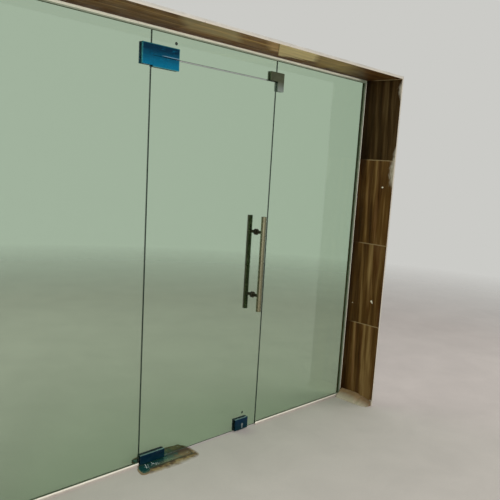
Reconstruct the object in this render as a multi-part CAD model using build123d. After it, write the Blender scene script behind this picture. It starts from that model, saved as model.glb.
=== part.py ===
from build123d import *
from dataclasses import dataclass, field
from math import hypot
from typing import Callable
import os

# Frameless toughened-glass shopfront in a tiled opening.
# X runs along the facade, Y runs into the shop and Z is up.
# The origin is at floor level, in the middle of the opening, on the middle plane of the glass.

# Opening and panels
SIDE_PANEL = 925.0          # reveal face to the joint beside the door, the same on both sides
DOOR_MODULE = 915.0         # joint to joint
GLASS = 12.0                # thickness of every pane
JOINT_GAP = 3.0             # open joint between neighbouring panes
DOOR_FLOOR_GAP = 8.0
DOOR_HEIGHT = 2208.0
DOOR_TOP_GAP = 4.0
OVERPANEL_HEIGHT = 133.0    # pane over the door
ARRIS = 1.0                 # flat ground along every pane edge

# Tiled lining
TILE_LENGTH = 600.0
TILE_THICKNESS = 9.0
TILE_ARRIS = 0.8
GROUT_JOINT = 2.0
GROUT_DEPTH = 0.6           # how far the grout lies behind the tile face
REVEAL_FRONT = 308.0        # glass plane to the outer edge of the tiles
REVEAL_BACK = 34.0          # glass plane to the inner edge of the tiles
HEAD_FIRST_TILE = 413.0     # cut tile at the left end of the head
MORTAR = 10.0
MORTAR_SETBACK = 4.0

# Glazing channels
CHANNEL_WIDTH = 20.0
CHANNEL_HEIGHT = 18.0
CHANNEL_WALL = 2.0
EDGE_CLEARANCE = 5.0        # pane edge to channel base, and the height of the setting blocks
BLOCK_LENGTH = 100.0
BLOCK_INSET = 150.0         # end of a floor channel to the middle of the nearest block
GASKET_LIP = 1.5            # how far the glazing gasket stands out of the channel
SCREW_PITCH = 380.0
SCREW_END = 90.0
SCREW_SHANK = 2.1
SCREW_HEAD = 4.2
SCREW_HEAD_HEIGHT = 2.2
SCREW_HEAD_CHAMFER = 1.3
SCREW_LENGTH = 18.0
SCREW_PLAY = 0.2

# Patch fittings
COVER_DEPTH = 12.5          # how far a cover stands off the glass face
COVER_WALL = 1.2
COVER_CORNER = 2.0
COVER_EDGE = 0.9
COVER_SEAT = 0.3            # free edge of a cover to the glass
COVER_PLAY = 0.3            # inside of a cover to the clamp in it
PATCH_GASKET = 1.0
GASKET_INSET = 2.0
CORE_PLAY = 1.5             # clamp core to the notch in the glass
PATCH_HEIGHT = 54.0
PATCH_LENGTH = 165.0
PATCH_GAP = 3.5             # between the covers above and below the door's top edge
PATCH_DROP = 1.0            # door patches, below or above the pane edge
PATCH_FROM_JOINT = 2.5
BOLT_SHANK = 3.0            # radii of the clamp screws
BOLT_HEAD = 5.5
BOLT_HEAD_HEIGHT = 5.0
BOLT_HOLE = 7.0             # radius of the hole in the glass
BOLT_PLAY = 0.15
BOLT_SHORT = 2.0            # screw tip to the outside of the rear clamp
BOLT_INSET = 11.0           # middle of a screw to the nearest edge of its clamp

PIVOT_LEG_REACH = 62.0      # pivot patch, to the left of the joint
PIVOT_LEG_HEIGHT = 106.0
CORNER_ARM_REACH = 61.0     # corner patch, to the left of the joint
CORNER_LEG_REACH = 55.0     # corner patch, to the right of the joint
CORNER_LEG_HEIGHT = 110.0

CORE_LENGTH = 112.0         # metal core that fills the notch in the glass
CORE_HEIGHT = 30.0
PIVOT_FROM_JOINT = 68.0     # swing axis of the door
PIN_RADIUS = 7.0
PIN_UP = 28.0
PIN_DOWN = 16.0
PIN_CHAMFER = 1.4
BUSH_WALL = 3.5
RUNNING_FIT = 0.05

# Floor spring under the hinge side
CASE_LENGTH = 300.0
CASE_WIDTH = 116.0
CASE_DEPTH = 56.0
CASE_WALL = 2.0
CASE_BEHIND_PIVOT = 50.0
CASE_PROUD = 1.0            # top of the case above the floor
LUG_SIZE = 11.0
LUG_DEPTH = 22.0
COVER_PLATE = 1.5
COVER_PLATE_CHAMFER = 0.5
COVER_OVERHANG = 12.0
COVER_SCREW = 2.0
COVER_SCREW_HEAD = 4.0
COVER_SCREW_PROUD = 0.75
COVER_SCREW_LENGTH = 14.0
CLOSER_MARGIN = 13.0
CLOSER_BELOW_TOP = 9.0
CLOSER_ROUND = 10.0
CLOSER_EDGE = 3.0
SPINDLE_RADIUS = 11.0
SPINDLE_DEPTH = 34.0
SPINDLE_SQUARE = 14.0
SPINDLE_SQUARE_HEIGHT = 16.0
SPINDLE_HOLE = 15.0
COLLAR_SIDE = 22.0
COLLAR_END = 22.0
COLLAR_CORNER = 10.0
SMEAR_DEPTH = 4.0           # the smear's underside below the floor
SMEAR_SLOPE = 5.0
SMEAR_PLAY = 0.5            # gap to the floor channel beside it
SMEAR_RIM = [               # rim of the smear round the collar, from the middle of the case
    (-184, -23), (-198, -69), (-193, -112), (-147, -131), (-83, -134), (-23, -145), (15, -141),
    (63, -150), (124, -138), (188, -106), (199, -64), (198, -18), (196, 24), (151, 72), (70, 91),
    (-40, 95), (-147, 84), (-178, 50), (-181, 14)]

# Lock at the foot of the door
LOCK_LENGTH = 110.0
LOCK_HEIGHT = 76.0
LOCK_FROM_JOINT = 82.0      # lock-side joint to the nearest edge of the lock
LOCK_CORE_HEIGHT = 56.0
LOCK_CORE_MARGIN = 8.0
LOCK_SCREW_INSET = 14.5
LOCK_BOLT_RADIUS = 6.0
LOCK_BOLT_OFFSET = 21.0     # middle of the lock to the bolt, towards the hinge
LOCK_BOLT_LENGTH = 46.0
LOCK_BOLT_UP = 2.0          # bolt tip inside the case at rest
LOCK_BOLT_CHAMFER = 1.5
KEY_OFFSET = 5.0            # middle of the lock to the cylinder, towards the lock joint
KEY_HEIGHT = 33.0           # lock's lower edge to the middle of the plug
CYLINDER_RADIUS = 8.5
CYLINDER_FOOT = 10.0        # width of the cylinder's lower part
CYLINDER_HEIGHT = 33.0
CYLINDER_PROUD = 1.5
CYLINDER_PLAY = 0.3
PLUG_RADIUS = 6.0
PLUG_DEPTH = 22.0
PLUG_PROUD = 0.5
KEYWAY_WIDTH = 1.6
KEYWAY_HEIGHT = 8.0

# Pull handles
HANDLE_LENGTH = 600.0
HANDLE_RADIUS = 16.0
HANDLE_WALL = 1.5
HANDLE_END_ROUND = 2.5
HANDLE_BOTTOM = 800.0       # above the floor
HANDLE_STANDOFF = 64.0      # middle of the glass to the middle of the tube
HANDLE_FROM_JOINT = 93.0
POST_SPACING = 400.0
POST_RADIUS = 9.5
ROSETTE_RADIUS = 19.0
ROSETTE_HEIGHT = 4.0
ROSETTE_CHAMFER = 1.3
WASHER = 1.5
STUD_RADIUS = 4.0
STUD_PLAY = 0.15
STUD_GRIP = 4.5             # length of stud inside each tube

# Places that follow from the sizes above
JOINT_LEFT = -DOOR_MODULE / 2
JOINT_RIGHT = DOOR_MODULE / 2
REVEAL_LEFT = JOINT_LEFT - SIDE_PANEL
REVEAL_RIGHT = JOINT_RIGHT + SIDE_PANEL
FACE = GLASS / 2
DOOR_TOP = DOOR_FLOOR_GAP + DOOR_HEIGHT
OVERPANEL_FOOT = DOOR_TOP + DOOR_TOP_GAP
PIVOT_X = JOINT_LEFT + PIVOT_FROM_JOINT
PANE_FOOT = CHANNEL_WALL + EDGE_CLEARANCE
PANE_HEAD = OVERPANEL_FOOT + OVERPANEL_HEIGHT
OPENING_HEIGHT = PANE_HEAD + EDGE_CLEARANCE + CHANNEL_WALL      # floor to the face of the head tiles
CLAMP_IN = FACE + PATCH_GASKET
CLAMP_OUT = FACE + COVER_DEPTH - COVER_WALL
OUTSIDE = -1
INSIDE = 1


def slab(x0, x1, y0, y1, z0, z1):
    """Box between two corners."""
    return Pos((x0 + x1) / 2, (y0 + y1) / 2, (z0 + z1) / 2) * Box(x1 - x0, y1 - y0, z1 - z0)


def rod_y(x, z, radius, y0, y1):
    """Round bar along Y."""
    return Pos(x, (y0 + y1) / 2, z) * Rot(90, 0, 0) * Cylinder(radius, y1 - y0)


def rod_z(x, y, radius, z0, z1):
    """Round bar along Z."""
    return Pos(x, y, (z0 + z1) / 2) * Cylinder(radius, z1 - z0)


def elevation(points, radius=0.0):
    """Face with its outline in X and Z, its corners rounded when a radius is given."""
    outline = make_face(Polyline(*points, close=True))
    if radius > 0:
        outline = fillet(outline.vertices(), radius)
    return outline


def thick(outline, y0, y1):
    """Give an elevation its thickness, between two depths."""
    plane = Plane(origin=(0, y1, 0), x_dir=(1, 0, 0), z_dir=(0, -1, 0))
    return extrude(plane * outline, amount=y1 - y0, dir=(0, -1, 0))


def layer(outline, side, near, far):
    """Slice of an elevation on one side of the glass, from near to far off its middle."""
    if side == OUTSIDE:
        return thick(outline, -far, -near)
    return thick(outline, near, far)


def group(solids):
    """Several separate solids that share one node."""
    return Compound(solids)


def solids_of(shape):
    """Solids of a shape, as a list."""
    return list(shape.solids())


def pane(x0, x1, z0, z1):
    """Glass pane with ground edges."""
    body = slab(x0, x1, -FACE, FACE, z0, z1)
    rims = body.faces().sort_by(Axis.Y)
    return chamfer(rims[0].edges() + rims[-1].edges(), ARRIS)


def tile_joints(start, first, end):
    """Start and end of each tile along a run, from its first cut length."""
    runs = []
    low = start
    length = first
    while low < end:
        high = min(low + length, end)
        runs.append((low, high))
        low = high + GROUT_JOINT
        length = TILE_LENGTH
    return runs


def screw_places(start, end):
    """Even places for the screws of one channel."""
    span = end - start - 2 * SCREW_END
    gaps = max(1, round(span / SCREW_PITCH))
    return [start + SCREW_END + span * i / gaps for i in range(gaps + 1)]


def channel_screw(drill_only=False):
    """Screw through a channel base at z = 0, pointing down, or the hole that it needs."""
    play = SCREW_PLAY if drill_only else 0.0
    shank = rod_z(0, 0, SCREW_SHANK + play, CHANNEL_WALL - SCREW_LENGTH - play, CHANNEL_WALL)
    if drill_only:
        return shank
    head = rod_z(0, 0, SCREW_HEAD, CHANNEL_WALL, CHANNEL_WALL + SCREW_HEAD_HEIGHT)
    return shank + chamfer(head.edges().group_by(Axis.Z)[-1], SCREW_HEAD_CHAMFER)


def channel(length):
    """Channel along X from x = 0, with its base on z = 0 and its mouth upwards."""
    half = CHANNEL_WIDTH / 2
    body = slab(0, length, -half, half, 0, CHANNEL_HEIGHT)
    groove = slab(0, length, CHANNEL_WALL - half, half - CHANNEL_WALL, CHANNEL_WALL, CHANNEL_HEIGHT)
    return body - groove


# Where each channel starts, how it is turned and how long it is
FLOOR_RUN = SIDE_PANEL - CHANNEL_HEIGHT - JOINT_GAP / 2
CHANNELS = {
    "left_floor_channel": (Pos(REVEAL_LEFT + CHANNEL_HEIGHT, 0, 0), FLOOR_RUN),
    "right_floor_channel": (Pos(JOINT_RIGHT + JOINT_GAP / 2, 0, 0), FLOOR_RUN),
    "left_channel": (Pos(REVEAL_LEFT, 0, OPENING_HEIGHT - CHANNEL_HEIGHT) * Rot(0, 90, 0),
                     OPENING_HEIGHT - CHANNEL_HEIGHT),
    "right_channel": (Pos(REVEAL_RIGHT, 0, 0) * Rot(0, -90, 0), OPENING_HEIGHT - CHANNEL_HEIGHT),
    "head_channel": (Pos(REVEAL_RIGHT, 0, OPENING_HEIGHT) * Rot(0, 180, 0), REVEAL_RIGHT - REVEAL_LEFT),
}


def channel_drills():
    """Holes that the channel screws need in whatever lies behind them."""
    drills = []
    for place, length in CHANNELS.values():
        drills += [place * Pos(x, 0, 0) * channel_screw(drill_only=True) for x in screw_places(0, length)]
    return drills


def cut_near(body, tools):
    """Cut only the tools whose box meets the body's box."""
    box = body.bounding_box()
    for tool in tools:
        other = tool.bounding_box()
        apart = (other.min.X > box.max.X or other.max.X < box.min.X
                 or other.min.Y > box.max.Y or other.max.Y < box.min.Y
                 or other.min.Z > box.max.Z or other.max.Z < box.min.Z)
        if not apart:
            body = body - tool
    return body


def build_lining():
    """Mortar bed, tiles and grout of the reveal."""
    nodes = {}
    drills = channel_drills()
    front = -REVEAL_FRONT
    back = REVEAL_BACK
    outer = TILE_THICKNESS + MORTAR

    bed = slab(REVEAL_LEFT - outer, REVEAL_RIGHT + outer, front + MORTAR_SETBACK, back - MORTAR_SETBACK,
               0, OPENING_HEIGHT + outer)
    bed -= slab(REVEAL_LEFT - TILE_THICKNESS, REVEAL_RIGHT + TILE_THICKNESS, front, back,
                0, OPENING_HEIGHT + TILE_THICKNESS)
    nodes["mortar_bed"] = cut_near(bed, drills)

    grout = []
    jamb_top = OPENING_HEIGHT - GROUT_JOINT
    courses = tile_joints(0, TILE_LENGTH, jamb_top)
    for side, reveal, sign in (("left", REVEAL_LEFT, -1), ("right", REVEAL_RIGHT, 1)):
        near = reveal
        far = reveal + sign * TILE_THICKNESS
        x0, x1 = min(near, far), max(near, far)
        for number, (low, high) in enumerate(courses, 1):
            tile = slab(x0, x1, front, back, low, high)
            face = tile.faces().sort_by(Axis.X)[0 if sign > 0 else -1]
            tile = chamfer(face.edges(), TILE_ARRIS)
            nodes[f"{side}_jamb_tile_{number}"] = cut_near(tile, drills)
        hidden = reveal + sign * GROUT_DEPTH
        g0, g1 = min(hidden, far), max(hidden, far)
        for low, high in courses:
            grout.append(slab(g0, g1, front + GROUT_DEPTH, back - GROUT_DEPTH, high, high + GROUT_JOINT))

    spans = tile_joints(REVEAL_LEFT - TILE_THICKNESS, HEAD_FIRST_TILE + TILE_THICKNESS,
                        REVEAL_RIGHT + TILE_THICKNESS)
    for number, (low, high) in enumerate(spans, 1):
        tile = slab(low, high, front, back, OPENING_HEIGHT, OPENING_HEIGHT + TILE_THICKNESS)
        face = tile.faces().sort_by(Axis.Z)[0]
        tile = chamfer(face.edges(), TILE_ARRIS)
        nodes[f"head_tile_{number}"] = cut_near(tile, drills)
        if high < REVEAL_RIGHT:
            grout.append(slab(high, high + GROUT_JOINT, front + GROUT_DEPTH, back - GROUT_DEPTH,
                              OPENING_HEIGHT + GROUT_DEPTH, OPENING_HEIGHT + TILE_THICKNESS))
    nodes["tile_grout"] = group([s for piece in grout for s in solids_of(cut_near(piece, drills))])
    return nodes


def build_channels():
    """Channels around the fixed panes, with their screws and setting blocks."""
    nodes = {}
    screws = []
    for name, (place, length) in CHANNELS.items():
        body = channel(length)
        for x in screw_places(0, length):
            body -= Pos(x, 0, 0) * channel_screw(drill_only=True)
            screws.append(place * Pos(x, 0, 0) * channel_screw())
        nodes[name] = place * body
    nodes["channel_screws"] = group([s for screw in screws for s in solids_of(screw)])

    blocks = []
    for name in ("left_floor_channel", "right_floor_channel"):
        place, length = CHANNELS[name]
        rooms = [Pos(x, 0, CHANNEL_WALL) * screw_room() for x in screw_places(0, length)]
        for middle in (BLOCK_INSET, length - BLOCK_INSET):
            block = slab(middle - BLOCK_LENGTH / 2, middle + BLOCK_LENGTH / 2, -FACE, FACE,
                         CHANNEL_WALL, PANE_FOOT)
            blocks += solids_of(place * cut_near(block, rooms))
    nodes["setting_blocks"] = group(blocks)

    nodes["glazing_gaskets"] = group(glazing_strips())
    return nodes


def screw_room():
    """Room for a screw head under a setting block."""
    return rod_z(0, 0, SCREW_HEAD + SCREW_PLAY, 0, SCREW_HEAD_HEIGHT + SCREW_PLAY)


def glazing_strips():
    """Rubber strips between the panes and the channels, on both faces of each pane."""
    strips = []
    reach = CHANNEL_HEIGHT + GASKET_LIP
    far = CHANNEL_WIDTH / 2 - CHANNEL_WALL
    left_end = REVEAL_LEFT + PANE_FOOT
    right_end = REVEAL_RIGHT - PANE_FOOT
    top = OPENING_HEIGHT - reach
    panes = ((left_end, JOINT_LEFT - JOINT_GAP / 2, True),
             (JOINT_LEFT + JOINT_GAP / 2, JOINT_RIGHT - JOINT_GAP / 2, False),
             (JOINT_RIGHT + JOINT_GAP / 2, right_end, True))
    for y0, y1 in ((-far, -FACE), (FACE, far)):
        for x0, x1, to_floor in panes:
            strips.append(slab(x0, x1, y0, y1, top, PANE_HEAD))
            if to_floor:
                strips.append(slab(x0, x1, y0, y1, PANE_FOOT, reach))
        strips.append(slab(left_end, REVEAL_LEFT + reach, y0, y1, reach, top))
        strips.append(slab(REVEAL_RIGHT - reach, right_end, y0, y1, reach, top))
    return [s for strip in strips for s in solids_of(strip)]


def box_outline(x0, x1, z0, z1, inset=0.0):
    """Rectangular patch outline, drawn in by an inset."""
    points = [(x0 + inset, z0 + inset), (x1 - inset, z0 + inset), (x1 - inset, z1 - inset),
              (x0 + inset, z1 - inset)]
    return elevation(points, max(COVER_CORNER - inset, 0.0))


def bent_outline(x_leg, x_inner, x_arm, top, leg_height, inset=0.0):
    """Patch outline with an arm along the top and a leg down one end, drawn in by an inset."""
    step = inset if x_arm > x_leg else -inset
    points = [(x_leg + step, top - inset), (x_arm - step, top - inset),
              (x_arm - step, top - PATCH_HEIGHT + inset), (x_inner - step, top - PATCH_HEIGHT + inset),
              (x_inner - step, top - leg_height + inset), (x_leg + step, top - leg_height + inset)]
    return elevation(points, max(COVER_CORNER - inset, 0.0))


@dataclass
class Patch:
    """Clamp fitting: two covers, two clamp halves, two gaskets and the screws through them."""

    outline: Callable                                   # inset in millimetres to a face
    screws: list                                        # (x, z) of each screw
    core: tuple = ()                                    # (x0, x1, z0, z1) of the core in the notch
    notch: tuple = ()                                   # (x0, x1, z0, z1) cut out of the pane for it
    bores: list = field(default_factory=list)           # solids cut out of both clamp halves
    windows: list = field(default_factory=list)         # solids cut out of the covers

    def cover(self, side):
        """Folded steel cover, open towards the glass."""
        shell = layer(self.outline(0.0), side, FACE + COVER_SEAT, FACE + COVER_DEPTH)
        face = shell.faces().sort_by(Axis.Y)[-1 if side == INSIDE else 0]
        shell = fillet(face.edges(), COVER_EDGE)
        shell -= layer(self.outline(COVER_WALL), side, FACE, CLAMP_OUT)
        return cut_near(shell, self.windows)

    def clamp(self, side):
        """One clamp half. The outside half carries the core that fills the notch."""
        inset = COVER_WALL + COVER_PLAY
        body = layer(self.outline(inset), side, CLAMP_IN, CLAMP_OUT)
        if side == OUTSIDE and self.core:
            x0, x1, z0, z1 = self.core
            body += slab(x0, x1, -CLAMP_IN, CLAMP_IN, z0, z1)
        for x, z in self.screws:
            body -= rod_y(x, z, BOLT_SHANK + BOLT_PLAY, -CLAMP_OUT, CLAMP_OUT)
            if side == OUTSIDE:
                body -= rod_y(x, z, BOLT_HEAD + BOLT_PLAY, -CLAMP_OUT, BOLT_HEAD_HEIGHT - CLAMP_OUT)
        return cut_near(body, self.bores)

    def clamps(self):
        """Both clamp halves, as one group."""
        return group(solids_of(self.clamp(OUTSIDE)) + solids_of(self.clamp(INSIDE)))

    def gaskets(self):
        """Gasket on each face of the glass."""
        sheets = []
        for side in (OUTSIDE, INSIDE):
            sheet = layer(self.outline(COVER_WALL + COVER_PLAY + GASKET_INSET), side, FACE, CLAMP_IN)
            sheet = self.open_glass(sheet)
            sheets += solids_of(sheet)
        return sheets

    def bolts(self):
        """Clamp screws, head outside and tip in the rear clamp."""
        bolts = []
        for x, z in self.screws:
            bolt = rod_y(x, z, BOLT_SHANK, BOLT_HEAD_HEIGHT - CLAMP_OUT, CLAMP_OUT - BOLT_SHORT)
            bolt += rod_y(x, z, BOLT_HEAD, -CLAMP_OUT, BOLT_HEAD_HEIGHT - CLAMP_OUT)
            bolts += solids_of(bolt)
        return bolts

    def open_glass(self, body):
        """Cut the notch and the screw holes in a pane or gasket."""
        if self.notch:
            x0, x1, z0, z1 = self.notch
            body -= slab(x0, x1, -CLAMP_IN, CLAMP_IN, z0, z1)
        for x, z in self.screws:
            inside_core = self.core and self.core[0] < x < self.core[1] and self.core[2] < z < self.core[3]
            if not inside_core:
                body -= rod_y(x, z, BOLT_HOLE, -CLAMP_IN, CLAMP_IN)
        return body


def pivot_bore(radius, z0, z1):
    """Upright hole on the swing axis."""
    return rod_z(PIVOT_X, 0, radius, z0, z1)


# Heights of the patches
UPPER_FOOT = OVERPANEL_FOOT - PATCH_DROP
UPPER_TOP = UPPER_FOOT + PATCH_HEIGHT
TOP_PATCH_TOP = UPPER_FOOT - PATCH_GAP
TOP_PATCH_FOOT = TOP_PATCH_TOP - PATCH_HEIGHT
LOW_PATCH_FOOT = DOOR_FLOOR_GAP - PATCH_DROP
LOW_PATCH_TOP = LOW_PATCH_FOOT + PATCH_HEIGHT
PATCH_START = JOINT_LEFT + PATCH_FROM_JOINT
PATCH_END = PATCH_START + PATCH_LENGTH
CORE_START = JOINT_LEFT + JOINT_GAP / 2 + COVER_WALL + COVER_PLAY + PATCH_FROM_JOINT
CORE_END = CORE_START + CORE_LENGTH
ARM_MIDDLE = UPPER_TOP - PATCH_HEIGHT / 2
LEG_LEFT = JOINT_LEFT - PIVOT_LEG_REACH / 2
LEG_RIGHT = JOINT_RIGHT + CORNER_LEG_REACH / 2
BUSH_RADIUS = PIN_RADIUS + RUNNING_FIT + BUSH_WALL
UPPER_CORE_FOOT = UPPER_FOOT + COVER_WALL + COVER_PLAY
TOP_CORE_TOP = TOP_PATCH_TOP - COVER_WALL - COVER_PLAY
LOW_CORE_FOOT = LOW_PATCH_FOOT + COVER_WALL + COVER_PLAY
CORE_SCREW_X = CORE_END - BOLT_INSET
HINGE_SCREW_X = CORE_START + BOLT_INSET
SCREW_ROW = PATCH_HEIGHT - COVER_WALL - COVER_PLAY - BOLT_INSET

PIVOT_PATCH = Patch(
    outline=lambda inset=0.0: bent_outline(JOINT_LEFT - PIVOT_LEG_REACH, JOINT_LEFT - PATCH_FROM_JOINT,
                                           PATCH_END, UPPER_TOP, PIVOT_LEG_HEIGHT, inset),
    screws=[(LEG_LEFT, UPPER_TOP - PIVOT_LEG_HEIGHT + PATCH_HEIGHT / 2), (LEG_LEFT, ARM_MIDDLE),
            (PATCH_END - PATCH_HEIGHT / 2, ARM_MIDDLE)],
    core=(CORE_START, CORE_END, UPPER_CORE_FOOT, UPPER_CORE_FOOT + CORE_HEIGHT),
    notch=(JOINT_LEFT, CORE_END + CORE_PLAY, UPPER_FOOT, UPPER_CORE_FOOT + CORE_HEIGHT + CORE_PLAY),
    bores=[pivot_bore(PIN_RADIUS + RUNNING_FIT, UPPER_FOOT, UPPER_CORE_FOOT + PIN_UP)],
    windows=[pivot_bore(PIN_RADIUS + COVER_PLAY, UPPER_FOOT - COVER_WALL, UPPER_FOOT + 2 * COVER_WALL)],
)

CORNER_PATCH = Patch(
    outline=lambda inset=0.0: bent_outline(JOINT_RIGHT + CORNER_LEG_REACH, JOINT_RIGHT + PATCH_FROM_JOINT,
                                           JOINT_RIGHT - CORNER_ARM_REACH, UPPER_TOP, CORNER_LEG_HEIGHT,
                                           inset),
    screws=[(LEG_RIGHT, UPPER_TOP - CORNER_LEG_HEIGHT + PATCH_HEIGHT / 2), (LEG_RIGHT, ARM_MIDDLE),
            (JOINT_RIGHT - CORNER_ARM_REACH / 2, ARM_MIDDLE)],
)

TOP_PATCH = Patch(
    outline=lambda inset=0.0: box_outline(PATCH_START, PATCH_END, TOP_PATCH_FOOT, TOP_PATCH_TOP, inset),
    screws=[(HINGE_SCREW_X, TOP_PATCH_TOP - SCREW_ROW), (CORE_SCREW_X, TOP_PATCH_TOP - SCREW_ROW),
            (CORE_SCREW_X, TOP_CORE_TOP - CORE_HEIGHT / 2)],
    core=(CORE_START, CORE_END, TOP_CORE_TOP - CORE_HEIGHT, TOP_CORE_TOP),
    notch=(JOINT_LEFT, CORE_END + CORE_PLAY, TOP_CORE_TOP - CORE_HEIGHT - CORE_PLAY, UPPER_FOOT),
    bores=[pivot_bore(BUSH_RADIUS + RUNNING_FIT, TOP_CORE_TOP - PIN_DOWN - PATCH_DROP, TOP_PATCH_TOP)],
    windows=[pivot_bore(BUSH_RADIUS + COVER_PLAY, TOP_PATCH_TOP - 2 * COVER_WALL,
                        TOP_PATCH_TOP + COVER_WALL)],
)

SQUARE_TOP = LOW_CORE_FOOT + SPINDLE_SQUARE_HEIGHT


def square_bar(play, z0, z1):
    """Square part of the spindle, or the pocket that it drives."""
    half = SPINDLE_SQUARE / 2 + play
    return slab(PIVOT_X - half, PIVOT_X + half, -half, half, z0, z1)


LOW_PATCH = Patch(
    outline=lambda inset=0.0: box_outline(PATCH_START, PATCH_END, LOW_PATCH_FOOT, LOW_PATCH_TOP, inset),
    screws=[(HINGE_SCREW_X, LOW_PATCH_FOOT + SCREW_ROW), (CORE_SCREW_X, LOW_PATCH_FOOT + SCREW_ROW),
            (CORE_SCREW_X, LOW_CORE_FOOT + CORE_HEIGHT / 2)],
    core=(CORE_START, CORE_END, LOW_CORE_FOOT, LOW_CORE_FOOT + CORE_HEIGHT),
    notch=(JOINT_LEFT, CORE_END + CORE_PLAY, LOW_PATCH_FOOT, LOW_CORE_FOOT + CORE_HEIGHT + CORE_PLAY),
    bores=[square_bar(RUNNING_FIT, LOW_PATCH_FOOT, SQUARE_TOP + RUNNING_FIT)],
    windows=[square_bar(COVER_PLAY, LOW_PATCH_FOOT - COVER_WALL, LOW_PATCH_FOOT + 2 * COVER_WALL)],
)

# Lock places
LOCK_END = JOINT_RIGHT - LOCK_FROM_JOINT
LOCK_START = LOCK_END - LOCK_LENGTH
LOCK_MIDDLE = (LOCK_START + LOCK_END) / 2
LOCK_FOOT = DOOR_FLOOR_GAP
LOCK_TOP = LOCK_FOOT + LOCK_HEIGHT
LOCK_CORE_FOOT = LOCK_FOOT + COVER_WALL + COVER_PLAY
BOLT_X = LOCK_MIDDLE - LOCK_BOLT_OFFSET
BOLT_FOOT = LOCK_FOOT + LOCK_BOLT_UP
KEY_X = LOCK_MIDDLE + KEY_OFFSET
KEY_Z = LOCK_FOOT + KEY_HEIGHT


def cylinder_profile(play, y0, y1):
    """Round-headed cylinder profile with its narrow foot below, through the lock."""
    foot = CYLINDER_HEIGHT - CYLINDER_RADIUS
    toe = CYLINDER_FOOT / 2
    body = rod_y(KEY_X, KEY_Z, CYLINDER_RADIUS + play, y0, y1)
    body += slab(KEY_X - toe - play, KEY_X + toe + play, y0, y1, KEY_Z - foot + toe, KEY_Z)
    body += rod_y(KEY_X, KEY_Z - foot + toe, toe + play, y0, y1)
    return body


LOCK_FACE = FACE + COVER_DEPTH
LOCK_PATCH = Patch(
    outline=lambda inset=0.0: box_outline(LOCK_START, LOCK_END, LOCK_FOOT, LOCK_TOP, inset),
    screws=[(LOCK_START + LOCK_SCREW_INSET, LOCK_CORE_FOOT + LOCK_CORE_HEIGHT / 2),
            (LOCK_END - LOCK_SCREW_INSET, LOCK_CORE_FOOT + LOCK_CORE_HEIGHT / 2)],
    core=(LOCK_START + LOCK_CORE_MARGIN, LOCK_END - LOCK_CORE_MARGIN, LOCK_CORE_FOOT,
          LOCK_CORE_FOOT + LOCK_CORE_HEIGHT),
    notch=(LOCK_START + LOCK_CORE_MARGIN - CORE_PLAY, LOCK_END - LOCK_CORE_MARGIN + CORE_PLAY,
           LOCK_FOOT - PATCH_DROP, LOCK_CORE_FOOT + LOCK_CORE_HEIGHT + CORE_PLAY),
    bores=[rod_z(BOLT_X, 0, LOCK_BOLT_RADIUS + RUNNING_FIT, LOCK_FOOT,
                 BOLT_FOOT + LOCK_BOLT_LENGTH + CORE_PLAY),
           cylinder_profile(CYLINDER_PLAY, -LOCK_FACE, LOCK_FACE)],
    windows=[cylinder_profile(CYLINDER_PLAY, -LOCK_FACE - COVER_WALL, LOCK_FACE + COVER_WALL),
             rod_z(BOLT_X, 0, LOCK_BOLT_RADIUS + COVER_PLAY, LOCK_FOOT - COVER_WALL,
                   LOCK_FOOT + 2 * COVER_WALL)],
)


def handle_places():
    """Height of each handle post."""
    middle = HANDLE_BOTTOM + HANDLE_LENGTH / 2
    return [middle - POST_SPACING / 2, middle + POST_SPACING / 2]


HANDLE_X = JOINT_RIGHT - HANDLE_FROM_JOINT


def build_fixed_glass():
    """Side panes and overpanel."""
    left = pane(REVEAL_LEFT + PANE_FOOT, JOINT_LEFT - JOINT_GAP / 2, PANE_FOOT, PANE_HEAD)
    right = pane(JOINT_RIGHT + JOINT_GAP / 2, REVEAL_RIGHT - PANE_FOOT, PANE_FOOT, PANE_HEAD)
    over = pane(JOINT_LEFT + JOINT_GAP / 2, JOINT_RIGHT - JOINT_GAP / 2, OVERPANEL_FOOT, PANE_HEAD)
    return {
        "left_panel_glass": PIVOT_PATCH.open_glass(left),
        "right_panel_glass": CORNER_PATCH.open_glass(right),
        "overpanel_glass": CORNER_PATCH.open_glass(PIVOT_PATCH.open_glass(over)),
    }


def build_door_glass():
    """Door leaf with its notches and handle holes."""
    leaf = pane(JOINT_LEFT + JOINT_GAP / 2, JOINT_RIGHT - JOINT_GAP / 2, DOOR_FLOOR_GAP, DOOR_TOP)
    for patch in (TOP_PATCH, LOW_PATCH, LOCK_PATCH):
        leaf = patch.open_glass(leaf)
    for z in handle_places():
        leaf -= rod_y(HANDLE_X, z, BOLT_HOLE, -FACE, FACE)
    return {"door_glass": leaf}


def build_patches():
    """Covers, clamps, gaskets and screws of every patch fitting."""
    nodes = {}
    for name, patch in (("pivot_patch", PIVOT_PATCH), ("corner_patch", CORNER_PATCH),
                        ("top_patch", TOP_PATCH), ("bottom_patch", LOW_PATCH)):
        nodes[f"{name}_front_cover"] = patch.cover(OUTSIDE)
        nodes[f"{name}_rear_cover"] = patch.cover(INSIDE)
        nodes[f"{name}_clamps"] = patch.clamps()
    nodes["lock_front_cover"] = LOCK_PATCH.cover(OUTSIDE)
    nodes["lock_rear_cover"] = LOCK_PATCH.cover(INSIDE)
    nodes["lock_case"] = LOCK_PATCH.clamps()
    nodes["fixed_patch_gaskets"] = group(PIVOT_PATCH.gaskets() + CORNER_PATCH.gaskets())
    nodes["top_pivot_pin"] = pivot_pin()
    nodes["top_pivot_bush"] = pivot_bush()
    return nodes


def pivot_pin():
    """Pin fixed in the pivot patch, reaching down into the door."""
    low = TOP_CORE_TOP - PIN_DOWN
    high = UPPER_CORE_FOOT + PIN_UP
    pin = pivot_bore(PIN_RADIUS, low, high)
    return chamfer(pin.edges().filter_by(GeomType.CIRCLE), PIN_CHAMFER)


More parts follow.
